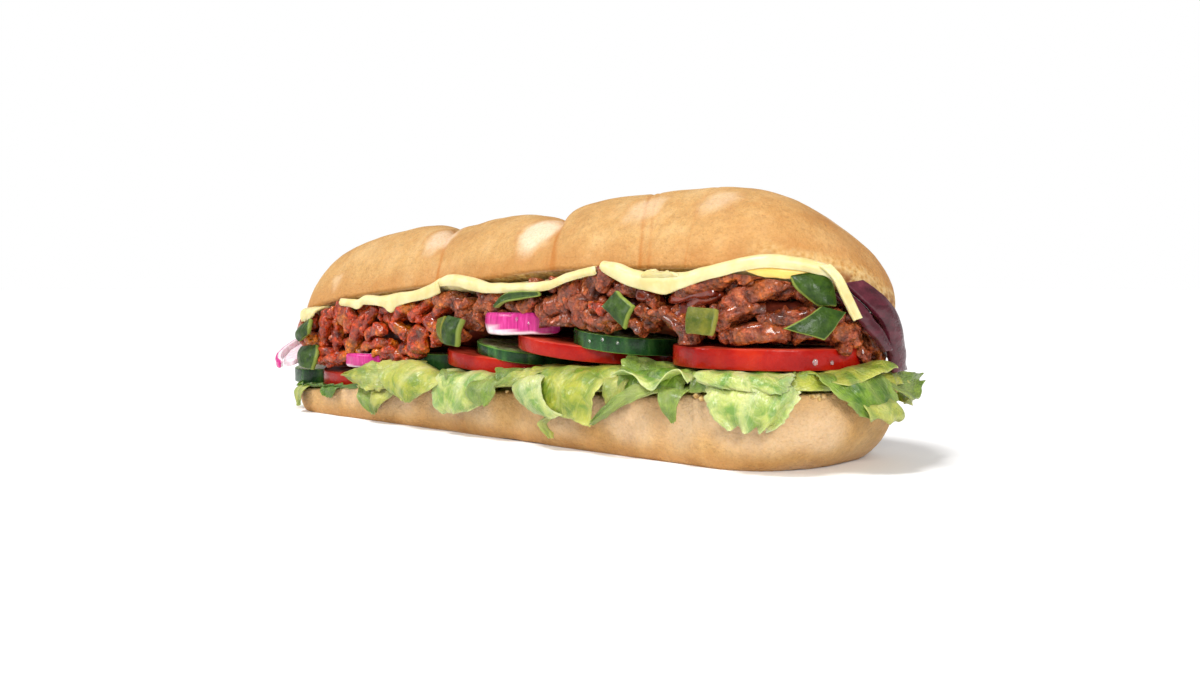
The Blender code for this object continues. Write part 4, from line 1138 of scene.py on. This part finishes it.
def lettuce():
    """Crumpled beds on the bread, then the leaves that hang out of it."""
    green = lettuce_finish("lettuce_green", (0.028, 0.105, 0.004), (0.140, 0.255, 0.014), (0.48, 0.50, 0.17))
    bright = lettuce_finish("lettuce_bright", (0.10, 0.190, 0.007), (0.33, 0.350, 0.028), (0.62, 0.60, 0.24))
    pale = lettuce_finish("lettuce_pale", (0.105, 0.235, 0.018), (0.39, 0.45, 0.100), (0.74, 0.74, 0.46))
    dark = lettuce_finish("lettuce_dark", (0.018, 0.070, 0.005), (0.055, 0.140, 0.010), (0.20, 0.30, 0.06))

    leaf_bed("bed_near_end", "leaf_near_end", bright, 138, 196, 24, 31, 92)
    leaf_bed("bed_crinkled", "leaf_crinkled", green, 107, 140, 24, 33.5, 70)
    leaf_bed("bed_wavy", "leaf_wavy", green, 76, 106, 24, 33, 70)
    leaf_bed("bed_broad", "leaf_broad", bright, 28, 75, 24, 34)
    leaf_bed("bed_pale", "leaf_pale", green, -22, 19, 24, 35)
    leaf_bed("bed_pointed", "leaf_pointed", bright, -74, -22, 22, 36)
    leaf_bed("bed_far_end", "leaf_far_end", dark, -152, -75, 20, 37)

    frond("leaf_broad_sheet", "leaf_broad", bright,
          ((38, 22, -20, 74, 22, -20), (36, 27.5, -8, 73, 26.5, -8), (34, 27.0, 0, 72, 26.0, 0.5),
           (33, 22, 4.0, 71.5, 21, 4.5), (35, 17.5, 4.6, 70, 15.5, 5.0), (40, 14.8, 4.0, 68, 9.6, 4.4)),
          bulge=1.0, ruffle=0.6, waves=1.6, seed=41, nu=76, nv=59)
    frond("leaf_broad_roll", "leaf_broad", pale,
          ((31, 23.0, -4, 44, 25.5, -2), (29.5, 23.6, 2.5, 44, 24.0, 4.5), (30, 20.5, 6.4, 47, 20.0, 7.6),
           (33.5, 16.6, 6.8, 52, 15.6, 7.4), (38, 14.6, 5.0, 56, 12.8, 5.4)), bulge=2.0, ruffle=0.4,
          waves=1.0, seed=42)
    frond("leaf_broad_curl", "leaf_broad", bright,
          ((49, 15.5, 4.4, 53, 15.0, 4.8), (46, 12.0, 5.6, 50, 12.0, 4.4), (42, 9.8, 6.2, 47, 8.8, 4.6),
           (43.5, 7.0, 5.8, 48.5, 6.2, 3.8), (47.5, 4.2, 4.6, 49.5, 3.8, 4.2)), bulge=0.4, ruffle=0.4,
          seed=43, nu=25, nv=34)
    frond("leaf_wavy_underside", "leaf_wavy", green,
          ((100, 27, -2, 99, 23.6, 3.5), (87, 25.6, 2.5, 86, 19.0, 5), (79, 21.0, 4.8, 77, 14.0, 6),
           (69.5, 12.4, 5.6, 69, 10.4, 5.6)), bulge=1.2, ruffle=0.5, seed=44)
    frond("leaf_wavy_edge", "leaf_wavy", pale,
          ((80, 26, -18, 106, 27, -18), (79, 27.0, -8, 108, 28, -8), (78, 27.0, -1, 109, 28.4, -1),
           (77.5, 27.0, 3.4, 110, 28.6, 3.4), (77.5, 27.0, 5.6, 110, 28.6, 5.6)), bulge=0.0, ruffle=0.15,
          jag=0.5, seed=45, nu=67, margin=((77.5, 0.0), (82, 2.4), (87, 1.1), (92, -3.0), (96, -4.3),
                                           (99, -2.2), (102, 1.6), (106, 2.8), (110, -2.0)))
    frond("leaf_wavy_spike", "leaf_wavy", green,
          ((96, 25.5, -1, 108, 25.5, -1), (97, 22.8, 4, 107.5, 22.8, 4), (100, 18.5, 5.2, 106, 18.5, 4.8),
           (103.4, 14.1, 4.4, 104.4, 14.0, 4.2)), bulge=0.9, ruffle=0.2, seed=46, nu=30)
    frond("leaf_wavy_inner", "leaf_wavy", green,
          ((70, 33.0, -11, 93, 30.0, -12), (71, 32.6, -7, 94, 30.0, -6), (74, 31.0, -3.4, 96, 29.4, -2.5),
           (77, 28, -1.6, 97, 27, -1.5), (83, 24.2, 0, 96, 24.2, 0)), bulge=0.4, ruffle=0.4, seed=47)
    frond("leaf_wavy_olive", "leaf_wavy", bright,
          ((70, 27.0, -4, 83, 26.4, -4), (71, 25.4, 1.5, 82, 25, 1.5), (71, 21, 2.6, 80, 20.5, 2.6),
           (72.5, 18.2, 2.4, 76, 18.0, 2.4)), bulge=0.6, ruffle=0.3, seed=48, nu=30)
    frond("leaf_crinkled_sheet", "leaf_crinkled", pale,
          ((112, 25, -8, 139, 25, -6), (113, 27.4, 0.5, 141, 27, 1.0), (114.5, 24.2, 5, 141, 24.5, 4.6),
           (115.5, 20.8, 6.4, 139, 20.8, 6.0), (118, 17.0, 6.0, 136, 16.8, 5.6),
           (121, 14.6, 5.0, 132, 14.8, 4.8)), bulge=1.4, ruffle=1.5, waves=3.2, jag=1.8, seed=49, nu=67,
          nv=54)
    frond("leaf_crinkled_upper", "leaf_crinkled", pale,
          ((106, 26, -14, 142, 27, -12), (107, 29.6, -3, 141, 29.4, -2), (110, 29.6, 2.5, 139, 29.2, 3),
           (112, 27.8, 4.8, 138, 27.0, 5.4), (119, 26.0, 5.6, 136, 24.4, 6.2)), bulge=0.5, ruffle=0.9,
          waves=2.6, jag=1.6, seed=50, nu=67)
    frond("leaf_end_sheet", "leaf_near_end", green,
          ((138, 27, -14, 168, 27, -14), (140, 29.2, -4, 168, 29.2, -4), (144, 28.8, 1.5, 170, 28.6, 1.5),
           (148, 25.6, 4.2, 172, 24.2, 4.2), (153, 21.6, 4.6, 174, 20.2, 4.4),
           (158, 17.8, 3.8, 176, 16.8, 3.4)), bulge=1.4, ruffle=1.2, waves=2.2, jag=1.8, seed=51, nu=67,
          nv=54)
    frond("leaf_end_curl", "leaf_near_end", bright,
          ((158, 23.0, 4.0, 170, 22.0, 4.4), (157, 20.6, 6.2, 171, 19.8, 6.6),
           (158, 18.2, 7.6, 172, 17.6, 7.6), (160, 16.8, 6.0, 173, 16.6, 5.6)), bulge=1.2, ruffle=0.6,
          seed=52, nu=34)
    frond("leaf_end_fold", "leaf_near_end", bright,
          ((142, 28.6, -8, 171, 32.0, -8), (145, 29.2, 0, 172, 33.2, 0), (149, 28.0, 3.2, 173, 33.2, 3),
           (154, 26.8, 4.4, 173, 31.8, 6)), bulge=0.6, ruffle=0.6, seed=53)
    frond("leaf_end_tip", "leaf_near_end", green,
          ((162, 31.2, -12, 165, 27, 3), (174, 32.2, -7, 175, 24.5, 7), (185, 31.2, 0, 185, 20.4, 8.6),
           (193, 29.6, 6.5, 193, 22.6, 9.2), (199, 28.6, 10.4, 197, 26.0, 10.6)), bulge=1.2, ruffle=0.8,
          waves=1.6, jag=1.8, seed=54, nv=50)
    frond("leaf_end_back", "leaf_near_end", bright,
          ((184, 26, -14, 212, 26, -14), (186, 29, -3, 213, 29, -3), (188, 26.5, 3.6, 214, 26.5, 3.0),
           (190, 21.5, 4.6, 213, 22.0, 4.0), (194, 18.0, 3.8, 208, 19.0, 3.2)), bulge=1.2, ruffle=1.2,
          jag=1.6, seed=55)
    frond("leaf_pointed_left", "leaf_pointed", bright,
          ((-34, 27, -6, -40, 16, 3), (-48, 27.4, -3, -50, 13.4, 5), (-60, 26.2, 0.5, -58, 12.6, 5),
           (-69, 23, 2.5, -69, 15.0, 5), (-79, 19.4, 4.5, -79, 18.4, 4.5)), bulge=1.6, ruffle=0.7, jag=1.8,
          seed=56, nv=50)
    frond("leaf_pointed_right", "leaf_pointed", bright,
          ((-38, 23, -12, -18, 17.5, -12), (-42, 26.2, -2, -16, 20.4, -2), (-47, 24.3, 3, -13, 19.8, 3),
           (-51.5, 20, 6, -16, 17.4, 5.5), (-46, 15.5, 6, -24, 14.5, 5.5), (-36, 11.6, 5, -32, 11.6, 4.6)),
          bulge=1.8, ruffle=0.4, waves=1.2, seed=57, rib=0.8)
    frond("leaf_pointed_shade", "leaf_pointed", green,
          ((-73, 14.5, 0, -58, 14.5, 1), (-72, 11, 3.2, -60, 10.5, 3.4), (-68, 7.5, 3.0, -60, 7, 3.2),
           (-61.5, 4.4, 2.2, -59, 4.2, 2.2)), bulge=0.8, ruffle=0.4, seed=58, nu=30)
    frond("leaf_pointed_spike", "leaf_pointed", bright,
          ((-62, 15, 2, -44, 15, 2), (-61, 11, 4.4, -48, 11.5, 4.2), (-60.5, 7.5, 4.2, -54, 8.5, 3.6),
           (-60, 4.0, 2.8, -59, 4.4, 2.6)), bulge=0.8, ruffle=0.3, seed=59, nu=30)
    frond("leaf_pale_sheet", "leaf_pale", pale,
          ((-14, 20, -16, 16, 21, -16), (-16, 23.4, -4, 18, 23.4, -4), (-18, 21.5, 2.5, 19, 22.5, 2.5),
           (-18.5, 16.5, 5, 19, 18.5, 5), (-17, 11.5, 5.4, 14, 14.5, 5), (-11, 8.2, 4.6, 4, 10.4, 4.4)),
          bulge=1.2, ruffle=0.6, waves=1.8, seed=60, nu=64, nv=50)
    frond("leaf_pale_lobe", "leaf_pale", green,
          ((4, 23.4, 0, 20, 23.8, 0), (4, 20.4, 5.2, 20.5, 21, 5.2), (5, 16, 7.0, 20, 17, 6.4),
           (8, 12.8, 6.2, 16, 13.2, 5.8)), bulge=1.0, ruffle=0.4, seed=61, nu=37)
    frond("leaf_pale_bit", "leaf_pale", green,
          ((-19, 23, -3, -6, 23.0, -3), (-18, 23.4, 1.8, -5, 23.0, 1.8), (-16, 21, 3.4, -5, 21, 3.4),
           (-12, 19.6, 3.0, -7, 19.6, 3.0)), bulge=0.6, ruffle=0.7, jag=1.6, seed=62, nu=30, nv=25)
    frond("leaf_middle_bit", "leaf_broad", green,
          ((15, 24, -8, 26, 25, -8), (14.5, 25.8, 0, 27, 26.0, 1), (16, 24.8, 3.4, 29, 24.0, 4),
           (21, 21.6, 4, 27, 21.2, 4.4)), bulge=0.6, ruffle=0.4, jag=1.8, seed=63, nu=30)
    frond("leaf_middle_point", "leaf_broad", bright,
          ((38, 26, -5, 43, 26.0, -4), (29, 26.0, 2.6, 41, 26.0, 3.4), (23, 23.4, 5, 37, 22, 5.6),
           (19, 20.8, 5, 21, 20.4, 5)), bulge=0.8, ruffle=0.3, seed=64, nu=34)
    frond("leaf_far_bit", "leaf_far_end", dark,
          ((-102, 12.8, -3, -88, 13.2, -3), (-102, 12.0, 1.5, -89, 12.2, 1.5),
           (-101, 9.4, 2.2, -91, 9.8, 2.2), (-98, 8.2, 1.8, -93, 8.4, 1.8)), bulge=0.4, ruffle=0.5, seed=65,
          nu=30, nv=25)
    frond("leaf_far_tip", "leaf_far_end", bright,
          ((-128, 11.5, -4, -112, 12, -4), (-128, 10, 1.8, -113, 10.5, 1.8), (-126, 6.5, 2.6, -115, 6.5, 2.6),
           (-122.5, 2.7, 2.0, -119, 2.7, 2.0)), bulge=0.5, ruffle=0.6, jag=1.6, seed=66, nu=34)
    frond("leaf_far_back", "leaf_far_end", green,
          ((-182, 12, -14, -146, 12, -14), (-184, 15, -3, -146, 15, -3), (-184, 12.4, 2.4, -148, 12.4, 2.4),
           (-180, 7.6, 2.6, -152, 7.6, 2.6)), bulge=0.8, ruffle=0.9, jag=1.6, seed=68)


def tomatoes():
    """Four slices."""
    red = tomato_finish()
    for n, (name, x, y, z, radius, thick, tx, ty) in enumerate((
            ("tomato_near", 113.6, -6.0, 34.6, 31.5, 6.6, 0, 0),
            ("tomato_middle", 38.0, -8.0, 34.7, 30.0, 5.4, 0, -5.5),
            ("tomato_left", -6.0, -8.0, 27.6, 29.0, 5.8, 0, -4.0),
            ("tomato_far", -98.0, -9.5, 18.0, 27.0, 6.2, 5, 0))):
        round_slice(name, name, red, x, y, z, radius, thick, tx, ty, 0.6, seed=n + 1)


def cucumbers():
    """Four slices with three seed pockets each."""
    green = cucumber_finish()
    for n, (name, x, y, z, radius, thick, tx, ty) in enumerate((
            ("cucumber_near", 59.0, -14.0, 37.7, 20.0, 5.8, 0, -5.5),
            ("cucumber_middle", 4.7, -14.5, 31.6, 19.5, 4.2, 0, -7.5),
            ("cucumber_left", -41.0, -13.0, 26.0, 19.5, 7.0, 1, 0),
            ("cucumber_far", -137.0, -11.0, 15.8, 18.0, 6.4, 4, 0))):
        round_slice(name, name, green, x, y, z, radius, thick, tx, ty, 0.5, seed=n + 21,
                    pockets=3, pocket_in=0.12, pocket_out=0.66, pocket_depth=0.25, streaks=1)


def onions():
    """Rings of red onion, each with the white ring inside it, and the dark glazed bands."""
    purple = onion_finish()
    for name, inside, centre, radius, a0, a1, width, height, seed, under, slope in (
            ("onion_middle", "", (17.5, -18.5, 42.9), 19.6, -150, -25, 3.8, 8.4, 1, (0.42, 0.02), 0.0),
            ("onion_middle", "_core", (17.5, -18.5, 42.0), 15.4, -150, -40, 4.0, 4.8, 4, (1.5, 1.5), 0.0),
            ("onion_left", "", (-75, -18, 25.0), 20.5, -142, -40, 3.6, 6.0, 2, (0.25, 0.02), 0.0),
            ("onion_left", "_core", (-75, -18, 24.6), 16.4, -142, -40, 3.6, 5.0, 5, (1.5, 1.5), 0.0),
            ("onion_far", "", (-129, -19, 21.0), 22.0, -200, -100, 3.0, 4.4, 3, (-1.0, -1.0), 0.42),
            ("onion_far", "_core", (-129, -19, 22.2), 14.6, -205, -95, 10.6, 4.0, 6, (1.5, 1.5), 0.42)):
        onion_ring(name + inside, name, purple, centre, radius, a0, a1, width, height, seed, under, slope)
    plum = plum_finish()
    patch("onion_plum_outer", "onion_plum", plum, "glazed_onion",
          ((154, 57.0, -1.0, 162.5, 58.0, -1.5), (161.5, 51.0, 0.6, 170.5, 53.0, 0.4),
           (169, 44.0, 1.0, 179, 46.5, 0.6), (172.5, 37.0, 1.0, 183.5, 37.6, 0.5),
           (175, 29.8, 1.0, 187, 30.4, 0.3)), thick=2.4, bulge=1.6, ruffle=0.2, waves=1.0, jag=0.3, seed=4,
          crinkle=0.12, swell=0.6, nu=30, nv=50)
    patch("onion_plum_inner", "onion_plum", plum, "glazed_onion",
          ((150.5, 54.0, -0.5, 155.5, 55.5, -1.0), (156.5, 48.5, 1.0, 161.5, 50.0, 0.8),
           (162.5, 42.0, 1.6, 168, 43.0, 1.4), (168, 36.5, 1.8, 172, 37.0, 1.6)), thick=2.0, bulge=1.2,
          ruffle=0.2, waves=1.0, jag=0.3, seed=9, crinkle=0.12, swell=0.6, nu=30, nv=44)


def peppers():
    """Pieces of green pepper, some with their pale inner side to the front."""
    skin = pepper_finish("green_pepper", (0.009, 0.028, 0.003), (0.042, 0.088, 0.006), (0.22, 0.28, 0.05))
    flesh = pepper_finish("green_pepper_flesh", (0.045, 0.070, 0.005), (0.17, 0.16, 0.016),
                          (0.24, 0.23, 0.04))
    for name, finish, thick, bulge, rows in (
            ("flat", skin, 1.8, 0.5, ((145.5, 50.4, 3.6, 153.0, 48.6, 3.6), (141, 47.4, 4.8, 150, 45.0, 4.8),
                                      (135.5, 44.4, 5.0, 146.5, 40.8, 5.2))),
            ("block", flesh, 3.0, 0.5, ((109.0, 49.6, 2.0, 118.0, 49.2, 2.0),
                                        (109.0, 46.0, 3.2, 118.2, 45.6, 3.2),
                                        (109.4, 42.2, 3.4, 117.4, 41.8, 3.4))),
            ("slant", skin, 2.4, 1.0, ((72.6, 49.4, 2.8, 78.6, 55.0, 1.8), (78.0, 46.0, 3.0, 82.6, 52.8, 2.4),
                                       (83.4, 42.6, 3.2, 86.8, 50.4, 2.8))),
            ("long", skin, 2.4, 0.9, ((14.5, 49.4, 3.0, 15.5, 48.6, 3.2), (21, 54.0, 3.4, 22, 50.8, 3.8),
                                      (29, 55.0, 3.4, 29, 51.8, 3.8), (38.5, 54.8, 2.4, 38, 53.0, 2.6))),
            ("left", skin, 3.0, 0.8, ((-11, 44.6, 0.8, -2.5, 43.4, 0.8), (-13, 39.4, 2.2, -3.0, 38.6, 2.2),
                                      (-11, 34.4, 2.4, -3.6, 33.6, 2.4))),
            ("left_side", flesh, 2.0, 0.4,
             ((-18, 43.0, 1.4, -12, 44.6, 1.6), (-17, 39.2, 2.6, -13, 39.4, 2.8),
              (-14, 35.2, 2.2, -11, 34.6, 2.2))),
            ("far", skin, 2.4, 0.8, ((-121, 35.0, 1.0, -108, 41.0, 1.0), (-118, 33.0, 2.6, -106, 38.4, 2.6),
                                     (-115, 31.8, 2.4, -108, 35.4, 2.4))),
            ("far_side", skin, 2.4, 0.8,
             ((-122, 27.6, -1.0, -107, 29.6, -1.0), (-120.5, 24.4, 1.0, -104, 25.4, 1.0),
              (-117, 20.4, 1.4, -107, 19.4, 1.2))),
            ("behind", skin, 2.0, 1.6, ((137.5, 59.8, -2.0, 145, 60.8, -2.0),
                                        (139.5, 55.6, -0.2, 150.5, 57.4, -0.2),
                                        (146, 50.6, 0.4, 151.5, 50.6, 0.4)))):
        node = "pepper_" + name.replace("_side", "")
        patch("pepper_" + name, node, finish, "green_pepper", rows, thick=thick, bulge=bulge, ruffle=0.15,
              waves=1.0, jag=0.3, seed=len(name) + int(rows[0][0]), crinkle=0.15, swell=0.5, nu=34, nv=30)


def cheese_slices():
    """Three slices, the loose corner, the fold under it, a tuck and a scrap."""
    yellow = cheese_finish("sliced_cheese", (0.60, 0.49, 0.20), (0.70, 0.61, 0.33))
    # Deeper yellow for the fold under the near slice: painted shade, and painted light shining through the
    # cheese.
    shaded_cheese = cheese_finish("sliced_cheese_painted_shade", (0.82, 0.50, 0.09), (0.88, 0.60, 0.16))
    cheese("cheese_near", "cheese_near", yellow, 34,
           ((68, 64.0), (74, 63.6), (82, 61.4), (90, 60.2), (103, 60.4), (111, 61.9), (118, 63.2),
            (124, 64.5), (131, 65.2), (139, 64.4), (147, 62.8), (151, 60.8)),
           ((68, 62.8), (74, 59.6), (82, 56.6), (90, 55.2), (96, 54.2), (103, 56.0), (111, 58.5), (118, 60.2),
            (124, 61.8), (131, 62.8), (139, 62.2), (147, 60.4), (151, 58.0)), seed=1)
    patch("cheese_near_corner", "cheese_near", yellow, "cheese",
          ((146, 62.6, 1.6, 149.5, 63.2, 1.6), (149.5, 58.4, 2.6, 152.6, 59.6, 2.4),
           (152.2, 52.6, 3.0, 155.6, 53.6, 2.8), (155.8, 46.4, 3.0, 158.8, 47.4, 2.8)), thick=1.4, bulge=0.3,
          ruffle=0.2, waves=1.0, jag=0.2, seed=2, crinkle=0.05, swell=0.3, nu=20, nv=50)
    patch("cheese_near_under", "cheese_near", shaded_cheese, "cheese",
          ((122, 63.6, -4.0, 147, 62.2, -4.0), (123, 62.0, -1.0, 147, 61.0, -1.0),
           (131, 60.0, -1.4, 145, 59.0, -1.4)), thick=1.2, bulge=0.2, ruffle=0.1, jag=0.2, seed=3,
          crinkle=0.05, swell=0.3)
    patch("cheese_near_tuck", "cheese_near", yellow, "cheese",
          ((86, 58.8, 1.0, 104, 58.8, 1.0), (88, 60.6, 2.6, 102, 60.4, 2.6), (91, 62.2, 2.6, 99.5, 61.8, 2.6),
           (92.5, 62.6, 0.4, 98, 62.2, 0.4)), thick=1.0, bulge=1.0, ruffle=0.1, jag=0.2, seed=4, crinkle=0.05,
          swell=0.3)
    patch("cheese_far_scrap", "cheese_far", yellow, "cheese",
          ((-119, 45.6, -6, -106, 46.5, -6), (-119.5, 44.4, 0.0, -106, 45.0, 0.0),
           (-119, 42.0, 0.8, -108, 42.6, 0.8), (-118, 40.6, 0.4, -112, 41.0, 0.4)), thick=1.2, bulge=0.3,
          ruffle=0.2, jag=0.6, seed=8, crinkle=0.05, swell=0.3)
    cheese("cheese_middle", "cheese_middle", yellow, 32,
           ((-19, 58.3), (-12.5, 59.9), (-1, 58.9), (10, 56.8), (27, 56.8), (42, 57.6), (52, 60.2),
            (61, 61.8), (66, 62.4)), ((-19, 56.7), (-9, 56.6), (0, 54.9), (10, 54.2), (27, 54.7), (42, 55.6),
                                      (52, 58.6), (61, 60.6), (66, 61.2)), seed=5)
    cheese("cheese_far", "cheese_far", yellow, 30,
           ((-88, 49.8), (-76, 49.8), (-69, 51.6), (-60, 51.4), (-49, 52.7), (-38, 53.6), (-27, 56.0),
            (-19, 58.8)), ((-88, 48.7), (-80, 47.8), (-75, 46.7), (-70, 48.8), (-62, 48.6), (-55.5, 47.8),
                           (-51.5, 45.5), (-46.5, 48.2), (-38, 50.0), (-27, 51.6), (-19, 53.8)), seed=6)


def droplets(name, node, finish, places):
    """Flattened water drops; a place is (s, z, out, radius)."""
    heap = bmesh.new()
    for s, z, r, size in places:
        centre, out = rim(s)
        made = bmesh.ops.create_uvsphere(heap, u_segments=20, v_segments=12, radius=size)["verts"]
        turn = Vector((out.x, out.y, 0)).to_track_quat("Z", "Y").to_matrix().to_4x4()
        bmesh.ops.scale(heap, vec=(1.0, 1.25, 0.5), verts=made)
        place = Matrix.Translation((centre.x + out.x * r, centre.y + out.y * r, z))
        bmesh.ops.transform(heap, matrix=place @ turn, verts=made)
    return shown(name, heap, finish, (node,))


def drops():
    """Water on the tomato, onion and cucumber."""
    water = drop_finish()
    droplets("drops_tomato", "tomato_near", water,
             ((111, 35.0, -1.2, 0.75), (125, 33.6, -0.2, 0.6), (128, 34.6, -0.2, 0.45),
              (146, 34.0, -1.0, 0.8), (152, 33.8, -1.6, 0.55), (134, 36.2, -0.4, 0.4)))
    droplets("drops_onion", "onion_middle", water,
             ((25, 44.6, 0.2, 0.8), (20, 42.8, 0.2, 0.5), (31, 43.4, 0.0, 0.4)))
    droplets("drops_cucumber", "cucumber_near", water,
             ((64, 38.6, -4.0, 0.6), (58, 37.8, -3.9, 0.5), (70, 37.6, -5.2, 0.5)))


# Studio

def white_surround(glow, seen):
    """White studio all round, with the light it gives and the brightness it shows behind the sandwich."""
    world = bpy.context.scene.world or bpy.data.worlds.new("studio")
    bpy.context.scene.world = world
    world.use_nodes = True
    tree = world.node_tree
    background = tree.nodes["Background"]
    background.inputs["Color"].default_value = (1.0, 1.0, 1.0, 1.0)
    path = tree.nodes.new("ShaderNodeLightPath")
    pick = tree.nodes.new("ShaderNodeMapRange")
    pick.inputs["To Min"].default_value = glow
    pick.inputs["To Max"].default_value = seen
    tree.links.new(path.outputs["Is Camera Ray"], pick.inputs["Value"])
    tree.links.new(pick.outputs["Result"], background.inputs["Strength"])


def aim_lamp(light, place):
    """Lamp at a place, turned to the sandwich."""
    lamp = bpy.data.objects.new(light.name, light)
    lamp.location = place
    lamp.rotation_euler = (Vector(LAMP_AIM) - Vector(place)).to_track_quat("-Z", "Y").to_euler()
    bpy.context.collection.objects.link(lamp)


def pale_floor():
    """Plain floor that catches the shadow."""
    mesh = bpy.data.meshes.new("floor")
    bm = bmesh.new()
    bmesh.ops.create_grid(bm, x_segments=1, y_segments=1, size=6.0)
    bm.to_mesh(mesh)
    bm.free()
    floor = bpy.data.objects.new("floor", mesh)
    bpy.context.collection.objects.link(floor)
    m = Finish("pale_floor", Roughness=0.8, Specular_IOR_Level=0.1)
    m.feed("Base Color", m.ramp(m.grain(300), (0.0, 0.93), (1.0, 0.95)))
    mesh.materials.append(m.material)


def lamps():
    """High soft sun with a fill on each side."""
    sun = bpy.data.lights.new("soft_sun", "SUN")
    sun.energy = 2.5
    sun.angle = math.radians(16)
    aim_lamp(sun, (-0.12, -0.48, 1.0))
    for name, place, size, power in (("soft_left", (-0.55, -0.65, 0.42), 0.22, 2.2),
                                     ("soft_right", (0.70, -0.45, 0.34), 0.2, 4.4)):
        light = bpy.data.lights.new(name, "AREA")
        light.size = size
        light.energy = power
        aim_lamp(light, place)


def photo_camera():
    """Camera where the photo was taken from."""
    eye = bpy.data.cameras.new("photo_view")
    eye.lens = PHOTO_LENS
    eye.sensor_width = 36.0
    eye.clip_start = 0.01
    camera = bpy.data.objects.new("photo_view", eye)
    camera.location = PHOTO_PLACE
    camera.rotation_euler = (math.radians(90.0 - PHOTO_DIP), 0.0, math.radians(PHOTO_TURN))
    bpy.context.collection.objects.link(camera)
    bpy.context.scene.camera = camera
    bpy.context.scene.view_settings.view_transform = "Standard"


roll()
lettuce()
tomatoes()
cucumbers()
onions()
peppers()
cheese_slices()
beef()
drops()
pale_floor()
white_surround(0.45, 1.0)
lamps()
photo_camera()
